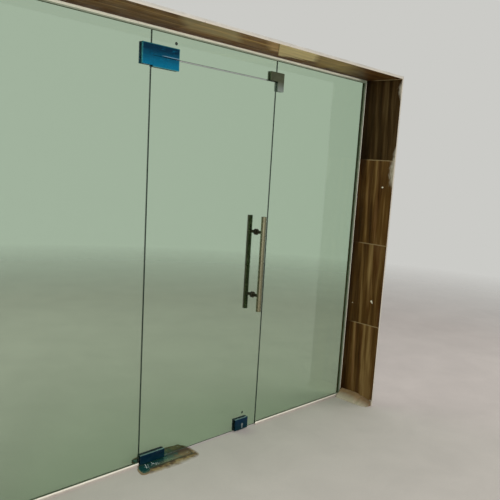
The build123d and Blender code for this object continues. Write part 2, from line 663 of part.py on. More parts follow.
def pivot_bush():
    """Plain bearing bush in the top of the door."""
    low = TOP_CORE_TOP - PIN_DOWN - PATCH_DROP
    high = TOP_PATCH_TOP - COVER_PLAY
    return pivot_bore(BUSH_RADIUS, low, high) - pivot_bore(PIN_RADIUS + RUNNING_FIT, low, high)


# Floor spring places
CASE_START = PIVOT_X - CASE_BEHIND_PIVOT
CASE_END = CASE_START + CASE_LENGTH
CASE_SIDE = CASE_WIDTH / 2
CASE_FOOT = CASE_PROUD - CASE_DEPTH
CLOSER_TOP = CASE_PROUD - CLOSER_BELOW_TOP


def lug_corners():
    """Inner corner of the case at each cover screw, with the way into the case."""
    x0, x1 = CASE_START + CASE_WALL, CASE_END - CASE_WALL
    y = CASE_SIDE - CASE_WALL
    return [(x0, -y, 1, 1), (x0, y, 1, -1), (x1, -y, -1, 1), (x1, y, -1, -1)]


def build_floor_spring():
    """Sunk case, closer, cover plate, spindle, mortar collar and the screws of the fixed parts."""
    case = slab(CASE_START, CASE_END, -CASE_SIDE, CASE_SIDE, CASE_FOOT, CASE_PROUD)
    case -= slab(CASE_START + CASE_WALL, CASE_END - CASE_WALL, CASE_WALL - CASE_SIDE, CASE_SIDE - CASE_WALL,
                 CASE_FOOT + CASE_WALL, CASE_PROUD)
    plate = slab(CASE_START - COVER_OVERHANG, CASE_END + COVER_OVERHANG, -CASE_SIDE - COVER_OVERHANG,
                 CASE_SIDE + COVER_OVERHANG, CASE_PROUD, CASE_PROUD + COVER_PLATE)
    plate = fillet(plate.edges().filter_by(Axis.Z), COVER_OVERHANG)
    plate = chamfer(plate.faces().sort_by(Axis.Z)[-1].edges(), COVER_PLATE_CHAMFER)
    plate -= rod_z(PIVOT_X, 0, SPINDLE_HOLE, CASE_PROUD, CASE_PROUD + COVER_PLATE)

    screws = []
    for x, y, way_x, way_y in lug_corners():
        x_far, y_far = x + way_x * LUG_SIZE, y + way_y * LUG_SIZE
        case += slab(min(x, x_far), max(x, x_far), min(y, y_far), max(y, y_far),
                     CASE_PROUD - LUG_DEPTH, CASE_PROUD)
        mx, my = (x + x_far) / 2, (y + y_far) / 2
        top = CASE_PROUD + COVER_PLATE
        tip = top - COVER_SCREW_LENGTH
        case -= rod_z(mx, my, COVER_SCREW + SCREW_PLAY, tip - SCREW_PLAY, CASE_PROUD)
        plate -= rod_z(mx, my, COVER_SCREW + SCREW_PLAY, CASE_PROUD, top)
        screw = rod_z(mx, my, COVER_SCREW, tip, top)
        head = rod_z(mx, my, COVER_SCREW_HEAD, top, top + COVER_SCREW_PROUD)
        screws += solids_of(screw + head)

    margin = CLOSER_MARGIN
    closer = slab(CASE_START + margin, CASE_END - margin, margin - CASE_SIDE, CASE_SIDE - margin,
                  CASE_FOOT + CASE_WALL, CLOSER_TOP)
    closer = fillet(closer.edges().filter_by(Axis.Z), CLOSER_ROUND)
    closer = chamfer(closer.faces().sort_by(Axis.Z)[-1].edges(), CLOSER_EDGE)
    spindle_foot = CASE_PROUD - SPINDLE_DEPTH
    closer -= rod_z(PIVOT_X, 0, SPINDLE_RADIUS + RUNNING_FIT, spindle_foot - RUNNING_FIT, CLOSER_TOP)

    shoulder = CASE_PROUD + COVER_PLATE + RUNNING_FIT
    spindle = rod_z(PIVOT_X, 0, SPINDLE_RADIUS, spindle_foot, shoulder)
    spindle += square_bar(0.0, shoulder, SQUARE_TOP)

    return {
        "floor_spring_case": case,
        "floor_spring_closer": closer,
        "floor_spring_cover": plate,
        "floor_spring_spindle": spindle,
        "cement_collar": build_collar(),
        "fixed_screws": group(PIVOT_PATCH.bolts() + CORNER_PATCH.bolts() + screws),
    }


def smear_face(middle, inset):
    """Ragged outline of the smear, drawn in by an inset."""
    points = []
    for x, y in SMEAR_RIM:
        share = 1 - inset / hypot(x, y)
        points.append((middle + share * x, share * y))
    return make_face(Spline(*points, periodic=True))


def build_collar():
    """Mortar packed round the case, smeared out onto the floor in a ragged patch."""
    x0 = JOINT_LEFT + PATCH_FROM_JOINT
    x1 = CASE_END + COLLAR_END
    half = CASE_SIDE + COLLAR_SIDE
    collar = slab(x0, x1, -half, half, CASE_FOOT, 0)
    collar = fillet(collar.edges().filter_by(Axis.Z), COLLAR_CORNER)
    middle = (CASE_START + CASE_END) / 2
    low = smear_face(middle, 0.0)
    collar += Pos(0, 0, -SMEAR_DEPTH) * extrude(low, amount=SMEAR_DEPTH)
    collar += loft([low, Pos(0, 0, CASE_PROUD) * smear_face(middle, SMEAR_SLOPE)])
    channel_side = CHANNEL_WIDTH / 2 + SMEAR_PLAY
    collar -= slab(x0 - CASE_LENGTH, x0, -channel_side, channel_side, 0, CASE_PROUD)
    collar -= slab(CASE_START, CASE_END, -CASE_SIDE, CASE_SIDE, CASE_FOOT, CASE_PROUD)
    return collar


def build_lock():
    """Cylinder, its plug and the bolt that goes down into the floor."""
    cylinder = cylinder_profile(0.0, -LOCK_FACE - CYLINDER_PROUD, LOCK_FACE + CYLINDER_PROUD)
    mouth = -LOCK_FACE - CYLINDER_PROUD
    cylinder -= rod_y(KEY_X, KEY_Z, PLUG_RADIUS + RUNNING_FIT, mouth, mouth + PLUG_DEPTH + RUNNING_FIT)

    plug = rod_y(KEY_X, KEY_Z, PLUG_RADIUS, mouth - PLUG_PROUD, mouth + PLUG_DEPTH)
    plug -= slab(KEY_X - KEYWAY_WIDTH / 2, KEY_X + KEYWAY_WIDTH / 2, mouth - PLUG_PROUD,
                 mouth + PLUG_DEPTH - PLUG_RADIUS, KEY_Z - KEYWAY_HEIGHT / 2, KEY_Z + KEYWAY_HEIGHT / 2)

    bolt = rod_z(BOLT_X, 0, LOCK_BOLT_RADIUS, BOLT_FOOT, BOLT_FOOT + LOCK_BOLT_LENGTH)
    bolt = chamfer(bolt.edges().filter_by(GeomType.CIRCLE).sort_by(Axis.Z)[0], LOCK_BOLT_CHAMFER)
    return {"lock_cylinder": cylinder, "lock_plug": plug, "lock_bolt": bolt}


def pull_tube(side):
    """Round tube with closed, rounded ends and a hole for each stud."""
    y = side * HANDLE_STANDOFF
    tube = rod_z(HANDLE_X, y, HANDLE_RADIUS, HANDLE_BOTTOM, HANDLE_BOTTOM + HANDLE_LENGTH)
    tube = fillet(tube.edges().filter_by(GeomType.CIRCLE), HANDLE_END_ROUND)
    tube -= rod_z(HANDLE_X, y, HANDLE_RADIUS - HANDLE_WALL, HANDLE_BOTTOM + HANDLE_WALL,
                  HANDLE_BOTTOM + HANDLE_LENGTH - HANDLE_WALL)
    for z in handle_places():
        tube -= rod_y(HANDLE_X, z, STUD_RADIUS + STUD_PLAY, min(0, y), max(0, y))
    return tube


def handle_post(side, z):
    """Post from the tube to the glass, with a round rosette at its foot."""
    near = FACE + WASHER
    y0, y1 = (near, HANDLE_STANDOFF) if side == INSIDE else (-HANDLE_STANDOFF, -near)
    post = rod_y(HANDLE_X, z, POST_RADIUS, y0, y1)
    r0, r1 = (near, near + ROSETTE_HEIGHT) if side == INSIDE else (-near - ROSETTE_HEIGHT, -near)
    rosette = rod_y(HANDLE_X, z, ROSETTE_RADIUS, r0, r1)
    outer = rosette.faces().sort_by(Axis.Y)[-1 if side == INSIDE else 0]
    post += chamfer(outer.edges(), ROSETTE_CHAMFER)
    post -= rod_z(HANDLE_X, side * HANDLE_STANDOFF, HANDLE_RADIUS, z - 2 * POST_RADIUS, z + 2 * POST_RADIUS)
    post -= rod_y(HANDLE_X, z, STUD_RADIUS + STUD_PLAY, y0, y1)
    return post


def build_handles():
    """Pull handles on both faces, clamped together through the glass."""
    posts = []
    washers = []
    studs = []
    reach = HANDLE_STANDOFF - HANDLE_RADIUS + STUD_GRIP
    for z in handle_places():
        for side in (OUTSIDE, INSIDE):
            posts += solids_of(handle_post(side, z))
            y0, y1 = (FACE, FACE + WASHER) if side == INSIDE else (-FACE - WASHER, -FACE)
            washer = rod_y(HANDLE_X, z, ROSETTE_RADIUS - WASHER, y0, y1)
            washers += solids_of(washer - rod_y(HANDLE_X, z, STUD_RADIUS + STUD_PLAY, y0, y1))
        studs += solids_of(rod_y(HANDLE_X, z, STUD_RADIUS, -reach, reach))
    gaskets = TOP_PATCH.gaskets() + LOW_PATCH.gaskets() + LOCK_PATCH.gaskets()
    bolts = TOP_PATCH.bolts() + LOW_PATCH.bolts() + LOCK_PATCH.bolts()
    return {
        "outer_handle": pull_tube(OUTSIDE),
        "inner_handle": pull_tube(INSIDE),
        "handle_posts": group(posts),
        "door_gaskets": group(gaskets + washers),
        "door_screws": group(bolts + studs),
    }


def main():
    """Build every sub-part and write one file for each."""
    nodes = {}
    for build in (build_lining, build_channels, build_fixed_glass, build_door_glass, build_patches,
                  build_floor_spring, build_lock, build_handles):
        nodes.update(build())
    os.makedirs("parts", exist_ok=True)
    for name, shape in nodes.items():
        export_step(shape, f"parts/{name}.step")
    print(len(nodes), "nodes")
    return nodes


if __name__ == "__main__":
    main()
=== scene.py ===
import logging
import math
from contextlib import contextmanager
from dataclasses import dataclass, replace
from enum import Enum
from functools import cached_property, partialmethod
from typing import Callable, Iterator, Sequence

import bpy
from mathutils import Euler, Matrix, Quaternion, Vector


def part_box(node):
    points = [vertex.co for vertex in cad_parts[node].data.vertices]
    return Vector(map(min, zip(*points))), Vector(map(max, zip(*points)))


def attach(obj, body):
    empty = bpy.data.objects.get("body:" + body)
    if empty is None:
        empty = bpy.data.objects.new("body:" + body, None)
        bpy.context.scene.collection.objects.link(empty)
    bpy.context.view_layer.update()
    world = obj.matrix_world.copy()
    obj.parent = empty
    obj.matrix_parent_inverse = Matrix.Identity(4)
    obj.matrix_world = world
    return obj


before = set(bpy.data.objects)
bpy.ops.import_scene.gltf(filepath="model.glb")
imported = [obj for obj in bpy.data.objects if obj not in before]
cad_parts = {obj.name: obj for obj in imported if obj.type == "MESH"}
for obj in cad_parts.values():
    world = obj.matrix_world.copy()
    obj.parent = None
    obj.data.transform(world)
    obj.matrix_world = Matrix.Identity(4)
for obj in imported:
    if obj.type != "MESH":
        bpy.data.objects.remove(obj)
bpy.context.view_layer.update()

logging.basicConfig(level=logging.INFO, format="%(message)s")
log = logging.getLogger("shopfront")

MM = 0.001
JAMB = 1.3825               # face of the jamb tiles, from the middle of the opening
HEAD = 2.360                # face of the head tiles, from the floor
FRONT = 0.308               # front arris of the tiles, from the middle of the glass
TILE_LENGTH = 0.6
GLASS_FACE = 6 * MM         # face of a pane, from its middle
COVER_FACE = 18.5 * MM      # face of a patch cover, from the middle of the glass
NOISE_CORE = (0.3, 0.7)     # range that holds most values of a noise

Place = tuple[float, float, float]
Pair = tuple[float, float]
Socket = bpy.types.NodeSocket


# Colours and node wiring


@dataclass(frozen=True)
class Tone:
    """A colour as it looks on screen, each channel from 0 to 255."""

    red: float
    green: float
    blue: float

    def linear(self) -> tuple[float, ...]:
        """The same colour in the renderer's linear scale."""
        shares = (channel / 255.0 for channel in (self.red, self.green, self.blue))
        return (*(s / 12.92 if s <= 0.04045 else ((s + 0.055) / 1.055) ** 2.4 for s in shares), 1.0)

    def shaded(self, factor: float) -> "Tone":
        """The same hue, lighter or darker."""
        return Tone(*(min(255.0, factor * channel) for channel in (self.red, self.green, self.blue)))


GREY = Tone(128, 128, 128)


@dataclass(frozen=True)
class Plate:
    """Upright rectangle: its ends along X, its foot and its top, in metres."""

    left: float
    right: float
    foot: float
    top: float


class Wiring:
    """A node tree that is being wired, with a short call for each kind of node.

    Where a call isn't told a vector, it takes the object coordinates in metres.
    """

    COLUMNS = 8
    SPACING = (220.0, -260.0)

    def __init__(self, tree: bpy.types.NodeTree) -> None:
        """Take over the tree of a material, a world or a group."""
        self.tree = tree

    @cached_property
    def coords(self) -> Socket:
        """The object coordinates."""
        return self.node("TexCoord").outputs["Object"]

    @cached_property
    def xyz(self) -> tuple[Socket, ...]:
        """The three parts of the object coordinates."""
        return self.axes(self.coords)

    def node(self, kind: str, feeds: dict[str | int, object] | None = None,
             **settings: object) -> bpy.types.Node:
        """Add a node, set its properties and feed its inputs.

        Args:
            kind: what the node's type name says after ShaderNode.
            feeds: what its inputs take, by their name or number.
            settings: its properties by name.

        Returns:
            The new node.
        """
        row, column = divmod(len(self.tree.nodes), self.COLUMNS)
        made = self.tree.nodes.new("ShaderNode" + kind)
        made.location = (self.SPACING[0] * column, self.SPACING[1] * row)
        for name, value in settings.items():
            setattr(made, name, value)
        for name, value in (feeds or {}).items():
            self.feed(made.inputs[name], value)
        return made

    def feed(self, socket: Socket, source: object) -> None:
        """Link an input to a socket, or set its value.

        Args:
            socket: the input.
            source: an output socket, a Tone, a number or a tuple.
        """
        if isinstance(source, Socket):
            self.tree.links.new(source, socket)
        else:
            socket.default_value = source.linear() if isinstance(source, Tone) else source

    def calc(self, operation: str, *terms: object) -> Socket:
        """Result of an arithmetic operation, which goes on over all the terms.

        Args:
            operation: its name.
            terms: sockets or numbers. One term alone is taken with a 0.

        Returns:
            The result's socket.
        """
        result = terms[0]
        for term in terms[1:] or (0.0,):
            result = self.node("Math", {0: result, 1: term}, operation=operation).outputs[0]
        return result

    add = partialmethod(calc, "ADD")
    sub = partialmethod(calc, "SUBTRACT")
    mul = partialmethod(calc, "MULTIPLY")
    div = partialmethod(calc, "DIVIDE")
    most = partialmethod(calc, "MAXIMUM")
    least = partialmethod(calc, "MINIMUM")
    above = partialmethod(calc, "GREATER_THAN")
    below = partialmethod(calc, "LESS_THAN")

    def away(self, value: object, centre: object = 0.0) -> Socket:
        """Distance of a value from a centre."""
        return self.calc("ABSOLUTE", self.sub(value, centre))

    def span(self, value: object, low: float, high: float, to_low: float = 0.0, to_high: float = 1.0,
             kind: str = "LINEAR") -> Socket:
        """A value carried from one range into another, and held at its ends."""
        feeds = {"Value": value, "From Min": low, "From Max": high, "To Min": to_low, "To Max": to_high}
        return self.node("MapRange", feeds, interpolation_type=kind).outputs["Result"]

    def sway(self, noise: Socket, reach: float) -> Socket:
        """A noise as a shift that goes as far to either side as `reach`."""
        return self.span(noise, *NOISE_CORE, -reach, reach)

    def mapped(self, move: Place = (0, 0, 0), turn: Place = (0, 0, 0), scale: Place = (1, 1, 1),
               **given: Socket) -> Socket:
        """A vector moved, turned by angles in degrees and scaled. It may be given as Vector."""
        turned = tuple(math.radians(angle) for angle in turn)
        return self.node("Mapping", {"Vector": self.coords, "Location": move, "Rotation": turned,
                                     "Scale": scale, **given}).outputs["Vector"]

    def noise(self, scale: object, detail: float = 2.0, roughness: float = 0.5, distortion: float = 0.0,
              **given: Socket) -> Socket:
        """Noise from 0 to 1, with `scale` features for each metre. Its place may be given as Vector."""
        feeds = {"Vector": self.coords, "Scale": scale, "Detail": detail, "Roughness": roughness}
        return self.node("TexNoise", {**feeds, "Distortion": distortion, **given}).outputs["Fac"]

    def blend(self, share: object, first: object, second: object, mode: str = "MIX") -> Socket:
        """Two colours mixed by a share, 0 for the first and 1 for the second."""
        feeds = {0: share, 6: first, 7: second}
        return self.node("Mix", feeds, data_type="RGBA", blend_type=mode).outputs[2]

    def overlay(self, share: object, first: Socket, second: Socket) -> Socket:
        """Two shaders mixed by a share, 0 for the first and 1 for the second."""
        return self.node("MixShader", {0: share, 1: first, 2: second}).outputs[0]

    def axes(self, vector: Socket) -> tuple[Socket, ...]:
        """The three parts of a vector."""
        return tuple(self.node("SeparateXYZ", {0: vector}).outputs)

    def bump(self, height: Socket, strength: float, depth: float, **under: Socket) -> Socket:
        """Normal that shows a height with a depth in metres. It may add to another, given as Normal."""
        feeds = {"Strength": strength, "Distance": depth, "Height": height, **under}
        return self.node("Bump", feeds).outputs["Normal"]

    def use(self, group: bpy.types.NodeTree, **given: object) -> bpy.types.bpy_prop_collection:
        """Place a shared group, feed its inputs by name and hand over its outputs."""
        return self.node("Group", {"Vector": self.coords, **given}, node_tree=group).outputs


class SharedGroup(Wiring):
    """A node group that several finishes use. It takes a Vector, which stands for the coordinates."""

    KINDS = {float: "NodeSocketFloat", Tone: "NodeSocketColor"}

    def __init__(self, name: str, takes: dict[str, object], gives: dict[str, type]) -> None:
        """Make the empty group with its sockets.

        Args:
            name: the group's name.
            takes: its other inputs by name, each with its default: a number or a Tone.
            gives: outputs by name, each with Tone for a colour or float for a value.
        """
        super().__init__(bpy.data.node_groups.new(name, "ShaderNodeTree"))
        add = self.tree.interface.new_socket
        add("Vector", in_out="INPUT", socket_type="NodeSocketVector")
        for label, default in takes.items():
            self.feed(add(label, in_out="INPUT", socket_type=self.KINDS[type(default)]), default)
        for label, kind in gives.items():
            add(label, in_out="OUTPUT", socket_type=self.KINDS[kind])
        self.inputs = self.tree.nodes.new("NodeGroupInput").outputs
        self.outputs = self.tree.nodes.new("NodeGroupOutput").inputs
        self.coords = self.inputs["Vector"]

    def give(self, **results: Socket) -> bpy.types.NodeTree:
        """Feed the group's outputs and hand it over.

        Args:
            results: what the outputs take, by name.

        Returns:
            The finished group.
        """
        for name, result in results.items():
            self.feed(self.outputs[name], result)
        return self.tree


def make_wood_decor() -> bpy.types.NodeTree:
    """Printed wood decor of the tiles, with its grain along Z.

    Returns:
        The group, which gives a colour and a height.
    """
    w = SharedGroup("wood_decor", {"Dark": GREY, "Middle": GREY, "Light": GREY, "Contrast": 1.0,
                                   "Veins": 0.0}, {"Color": Tone, "Height": float})
    long, longer = w.mapped(scale=(1, 1, 0.07)), w.mapped(scale=(1, 1, 0.02))
    narrow = w.noise(120.0, 3.0, 0.6, 0.1, Vector=longer)
    value: object = 0.0
    for noise, weight in ((w.noise(14.0, 2.0, 0.45, 0.25, Vector=long), 0.55),
                          (w.noise(52.0, 2.0, 0.5, 0.2, Vector=long), 0.5), (narrow, 0.28)):
        value = w.add(value, w.mul(w.sub(noise, 0.5), weight))
    value = w.add(w.mul(value, w.inputs["Contrast"]), 0.42, w.inputs["Veins"])
    color = w.blend(w.span(value, 0.2, 0.5), w.inputs["Dark"], w.inputs["Middle"])
    color = w.blend(w.span(value, 0.5, 0.85), color, w.inputs["Light"])
    red = w.span(w.noise(21.0, 1.0, Vector=long), 0.5, 0.68, 0.0, 0.45)
    return w.give(Color=w.blend(red, color, Tone(178, 118, 104), "MULTIPLY"), Height=narrow)


def make_decor_vein() -> bpy.types.NodeTree:
    """One light vein that runs the length of a tile, a little slanted and wavy.

    Returns:
        The group, which gives the vein's mask.
    """
    w = SharedGroup("decor_vein", {"Centre": 0.0, "Width": 0.02, "Slant": 0.0, "Strength": 1.0},
                    {"Mask": float})
    across, _, along = w.xyz
    wave = w.sway(w.noise(4.0, 1.0, Vector=w.mapped(scale=(0.2, 1, 1))), 5 * MM)
    lean = w.mul(w.sub(along, 0.5 * TILE_LENGTH), w.div(w.inputs["Slant"], -TILE_LENGTH))
    aside = w.away(w.sub(across, w.inputs["Centre"]), w.add(wave, lean))
    near = w.span(w.div(aside, w.inputs["Width"]), 1.0, 0.0, kind="SMOOTHSTEP")
    return w.give(Mask=w.mul(near, w.inputs["Strength"]))


def make_surface_dust() -> bpy.types.NodeTree:
    """Building dust and dried smears, as a mask and a colour laid over another.

    Returns:
        The group, which gives a colour and a mask.
    """
    w = SharedGroup("surface_dust", {"Base": GREY, "Dust": Tone(205, 198, 184), "Amount": 0.3,
                                     "Scale": 9.0}, {"Color": Tone, "Mask": float})
    patches, fine = w.noise(w.inputs["Scale"], 4.0, 0.62, 0.4), w.noise(210.0, 3.0, 0.7)
    mask = w.mul(w.span(patches, 0.42, 0.72), w.span(fine, *NOISE_CORE, 0.35, 1.0), w.inputs["Amount"])
    return w.give(Color=w.blend(mask, w.inputs["Base"], w.inputs["Dust"]), Mask=mask)


def make_brushed_lines() -> bpy.types.NodeTree:
    """Fine parallel lines of brushed or drawn metal, along Z, and a slow smudge value."""
    w = SharedGroup("brushed_lines", {"Fineness": 900.0}, {"Height": float, "Smudge": float})
    return w.give(Height=w.noise(w.inputs["Fineness"], 2.0, 0.6, Vector=w.mapped(scale=(1, 1, 0.012))),
                  Smudge=w.noise(14.0, 3.0, 0.6, 0.3))


WOOD_DECOR = make_wood_decor()
DECOR_VEIN = make_decor_vein()
SURFACE_DUST = make_surface_dust()
BRUSHED_LINES = make_brushed_lines()


# Finishes


class Run(Enum):
    """Direction in which a brushing runs, as the turn that lays it along Z."""

    ALONG = (0.0, 90.0, 0.0)
    THROUGH = (90.0, 0.0, 0.0)
    UP = (0.0, 0.0, 0.0)


class Lay(Enum):
    """Way a tile is laid: the axis of its length, the axis through it, and its face's place there."""

    UPRIGHT = (2, 0, JAMB)
    LENGTHWISE = (0, 2, HEAD)


@dataclass(frozen=True)
class Finish:
    """Recipe of a material. Each kind wires what its shader takes."""

    name: str

    def wire(self, w: Wiring) -> dict[str, object]:
        """What the shader's inputs take, by name."""
        raise NotImplementedError

    def results(self, w: Wiring, shader: Socket) -> dict[str, Socket]:
        """What the material's output takes: the shader as it is, unless a kind adds to it."""
        return {"Surface": shader}

    def build(self) -> bpy.types.Material:
        """Make the material.

        Returns:
            The finished material.
        """
        material = bpy.data.materials.new(self.name)
        material.use_nodes = True
        material.node_tree.nodes.clear()
        w = Wiring(material.node_tree)
        shader = w.node("BsdfPrincipled", self.wire(w)).outputs[0]
        w.node("OutputMaterial", self.results(w, shader))
        return material


@dataclass(frozen=True)
class Streak:
    """One vein of the decor, or a broad band of painted light or shade: its place across the tile, half
    width and slant in metres, and strength.
    """

    centre: float
    width: float
    slant: float
    strength: float


@dataclass(frozen=True)
class Smear:
    """Plaster left on the front arris: heights between which it shows, and its depth, in metres."""

    low: float
    high: float
    depth: float


@dataclass(frozen=True)
class PaintedLight:
    """Patch of painted light on the head's decor, painted shade where its tone is dark, between two
    places along it and in front of a line.

    The ends are skewed by the distance from the glass. The line lies `back` metres in front of the
    glass at the start, and moves forward with the slope.
    """

    start: float
    end: float
    back: float
    tone: Tone
    share: float
    slope: float = 0.0
    ramp: float = 8 * MM
    fade: float = 60 * MM


@dataclass(frozen=True)
class TileFinish(Finish):
    """Glazed tile with a printed wood decor, its bare body at the cut edges, and painted light and shade
    where given.
    """

    tones: tuple[Tone, ...]
    lay: Lay
    start: float
    length: float
    shift: Place
    streaks: tuple[Streak, ...]
    smears: tuple[Smear, ...] = ()
    glows: tuple[PaintedLight, ...] = ()
    haze: float = 0.0
    contrast: float = 1.0
    shine: float = 0.07
    dust: float = 0.01
    glaze_depth: float = 0.9 * MM

    def lay_painted_light(self, w: Wiring, color: Socket) -> Socket:
        """Lay the patches of painted light and shade of the head over a colour.

        Args:
            w: the material's wiring.
            color: the colour.

        Returns:
            The new colour.
        """
        across, forward = w.xyz[0], w.mul(w.xyz[1], -1.0)
        skew = w.add(across, forward)
        grain = w.noise(44.0, 4.0, 0.6, 0.3, Vector=w.mapped(scale=(0.09, 1, 1)))
        ragged = w.add(forward, w.sway(grain, 34 * MM))
        for glow in self.glows:
            line = w.sub(ragged, w.mul(w.sub(across, glow.start), glow.slope))
            share = w.mul(w.span(skew, glow.start, glow.start + glow.ramp),
                          w.span(skew, glow.end, glow.end - glow.fade),
                          w.span(line, glow.back - 12 * MM, glow.back + 20 * MM),
                          w.span(grain, 0.32, 0.62, 0.68 * glow.share, glow.share))
            color = w.blend(share, color, glow.tone)
        return color

    def smeared(self, w: Wiring, color: Socket) -> Socket:
        """Lay the plaster smears over a colour.

        Args:
            w: the material's wiring.
            color: the colour.

        Returns:
            The new colour.
        """
        _, depth, height = w.xyz
        ragged = w.sway(w.noise(46.0, 5.0, 0.7, 0.6, Vector=w.mapped(scale=(1, 1, 0.4))), 0.55)
        for smear in self.smears:
            off = w.div(w.away(height, 0.5 * (smear.low + smear.high)), 0.5 * (smear.high - smear.low))
            far = w.add(w.mul(off, off), w.div(w.add(depth, FRONT), smear.depth), ragged)
            color = w.blend(w.span(far, 1.2, 0.1, 0.0, 0.75), color, Tone(196, 188, 168))
        return color

    def hazed(self, w: Wiring, along: Socket, color: Socket) -> Socket:
        """Lay the grout haze along the two joints over a colour.

        Args:
            w: the material's wiring.
            along: distance from the tile's start.
            color: the colour.

        Returns:
            The new colour.
        """
        near = w.least(along, w.sub(self.length, along))
        ragged = w.add(near, w.sway(w.noise(60.0, 4.0, 0.7, 0.6), 1.6 * MM))
        share = w.mul(w.span(ragged, 4.2 * MM, 2.2 * MM, 0.0, self.haze), w.span(w.xyz[1], -0.05, -0.09))
        return w.blend(share, color, Tone(156, 134, 96))

    def decor(self, w: Wiring, place: Socket) -> bpy.types.bpy_prop_collection:
        """Wood decor with the tile's own veins and bands of painted light and shade.

        Args:
            w: the material's wiring.
            place: vector across, through and along the tile.

        Returns:
            The decor's outputs.
        """
        veins: object = 0.0
        for streak in self.streaks:
            vein = w.use(DECOR_VEIN, Vector=place, Centre=streak.centre, Width=streak.width,
                         Slant=streak.slant, Strength=streak.strength)
            veins = w.add(veins, vein["Mask"])
        tones = dict(zip(("Dark", "Middle", "Light"), self.tones))
        return w.use(WOOD_DECOR, Vector=w.mapped(self.shift, Vector=place), Contrast=self.contrast,
                     Veins=veins, **tones)

    def wire(self, w: Wiring) -> dict[str, object]:
        """Wire the glazed face and the bare edges.

        Args:
            w: the material's wiring.

        Returns:
            What the shader's inputs take, by name.
        """
        length_axis, through_axis, face = self.lay.value
        forward = w.mul(w.xyz[1], -1.0)
        along = w.sub(w.xyz[length_axis], self.start)
        decor = self.decor(w, w.node("CombineXYZ", {0: forward, 2: along}).outputs[0])
        bare = w.most(w.above(w.away(w.xyz[through_axis]), face + self.glaze_depth),
                      w.above(forward, FRONT - 0.6 * MM))
        grit = w.noise(420.0, 3.0, 0.7)
        body = w.blend(grit, Tone(180, 172, 156), Tone(212, 204, 190))
        glazed = w.use(SURFACE_DUST, Base=decor["Color"], Dust=Tone(128, 112, 84), Amount=self.dust,
                       Scale=7.0)["Color"]
        glazed = self.smeared(w, self.lay_painted_light(w, self.hazed(w, along, glazed)))
        smudge = w.span(w.noise(11.0, 4.0, 0.6), 0.3, 0.75, 0.3, 0.46)
        return {"Base Color": w.blend(bare, glazed, body),
                "Roughness": w.most(smudge, w.mul(bare, 0.85)),
                "Normal": w.bump(w.blend(bare, decor["Height"], grit), 0.12, 0.25 * MM),
                "Specular IOR Level": self.shine}


@dataclass(frozen=True)
class CementFinish(Finish):
    """Cement, plaster or grout: gritty, with slow changes of tone.

    The rim's tone gives way to the cement's over a span of distances from the opening's middle, and
    the inner tone over a span of distances in front of the glass.
    """

    dark: Tone
    light: Tone
    grit: float = 260.0
    rim: Tone | None = None
    rim_span: Pair = (0.0, 1.0)
    inner: Tone | None = None
    inner_span: Pair = (0.0, 1.0)

    def wire(self, w: Wiring) -> dict[str, object]:
        """Wire the cement.

        Args:
            w: the material's wiring.

        Returns:
            What the shader's inputs take, by name.
        """
        slow, grit = w.noise(9.0, 4.0, 0.6, 0.3), w.noise(self.grit, 4.0, 0.7)
        share = w.add(w.mul(slow, 0.65), w.mul(grit, 0.35))
        tone = w.blend(w.span(share, 0.35, 0.65), self.dark, self.light)
        if self.rim:
            outward = w.add(w.away(w.xyz[0]), w.sway(slow, 8 * MM))
            tone = w.blend(w.span(outward, *self.rim_span), self.rim, tone)
        if self.inner:
            forward = w.sub(w.sway(slow, 12 * MM), w.xyz[1])
            tone = w.blend(w.span(forward, *self.inner_span), self.inner, tone)
        return {"Base Color": tone, "Roughness": w.span(grit, 0.2, 0.8, 0.78, 0.95),
                "Normal": w.bump(grit, 0.6, 0.6 * MM)}


@dataclass(frozen=True)
class StainFinish(Finish):
    """Cement round a plate in the floor: wet beside it, then stained, and pale at the rim. From the door
    line back it turns brown, which is painted shade.

    The plate's ends and the cement's reach beyond them are given along X and then along Y.
    """

    pale: Tone
    wet: Tone
    brown: Tone
    ochre: Tone
    plate: tuple[Pair, Pair]
    reach: tuple[Pair, Pair]

    def outward(self, w: Wiring) -> Socket:
        """Share of the way from the plate's edge to the cement's rim.

        Args:
            w: the material's wiring.

        Returns:
            The share: 0 at the plate and 1 at the rim.
        """
        squares = []
        for place, (low, high), (before, beyond) in zip(w.xyz, self.plate, self.reach):
            over = w.most(w.div(w.sub(low, place), before), w.div(w.sub(place, high), beyond), 0.0)
            squares.append(w.mul(over, over))
        return w.calc("SQRT", w.add(*squares))

    def wire(self, w: Wiring) -> dict[str, object]:
        """Wire the stained cement.

        Args:
            w: the material's wiring.

        Returns:
            What the shader's inputs take, by name.
        """
        grit = w.noise(300.0, 4.0, 0.7)
        patches = w.noise(30.0, 4.0, 0.62, 0.6, Vector=w.mapped((3.1, 1.7, 0)))
        far = w.add(self.outward(w), w.sway(w.noise(18.0, 5.0, 0.66, 1.0), 0.2))
        soaked = w.span(far, 0.34, 0.08)
        door_shade = w.span(w.add(w.xyz[1], w.sway(patches, 30 * MM)), -70 * MM, -20 * MM)
        pale = w.blend(grit, self.pale.shaded(0.95), self.pale.shaded(1.02))
        # Brown stain patches, and brown from the door line back as painted shade.
        stain = w.blend(w.most(w.span(patches, 0.56, 0.4), door_shade), self.ochre, self.brown)
        color = w.blend(w.span(far, 1.02, 0.45), pale, stain)
        return {"Base Color": w.blend(w.mul(soaked, 0.85), color, self.wet),
                "Roughness": w.span(soaked, 0.0, 1.0, 0.88, 0.45),
                "Normal": w.bump(grit, 0.4, 0.4 * MM), "Specular IOR Level": 0.25}


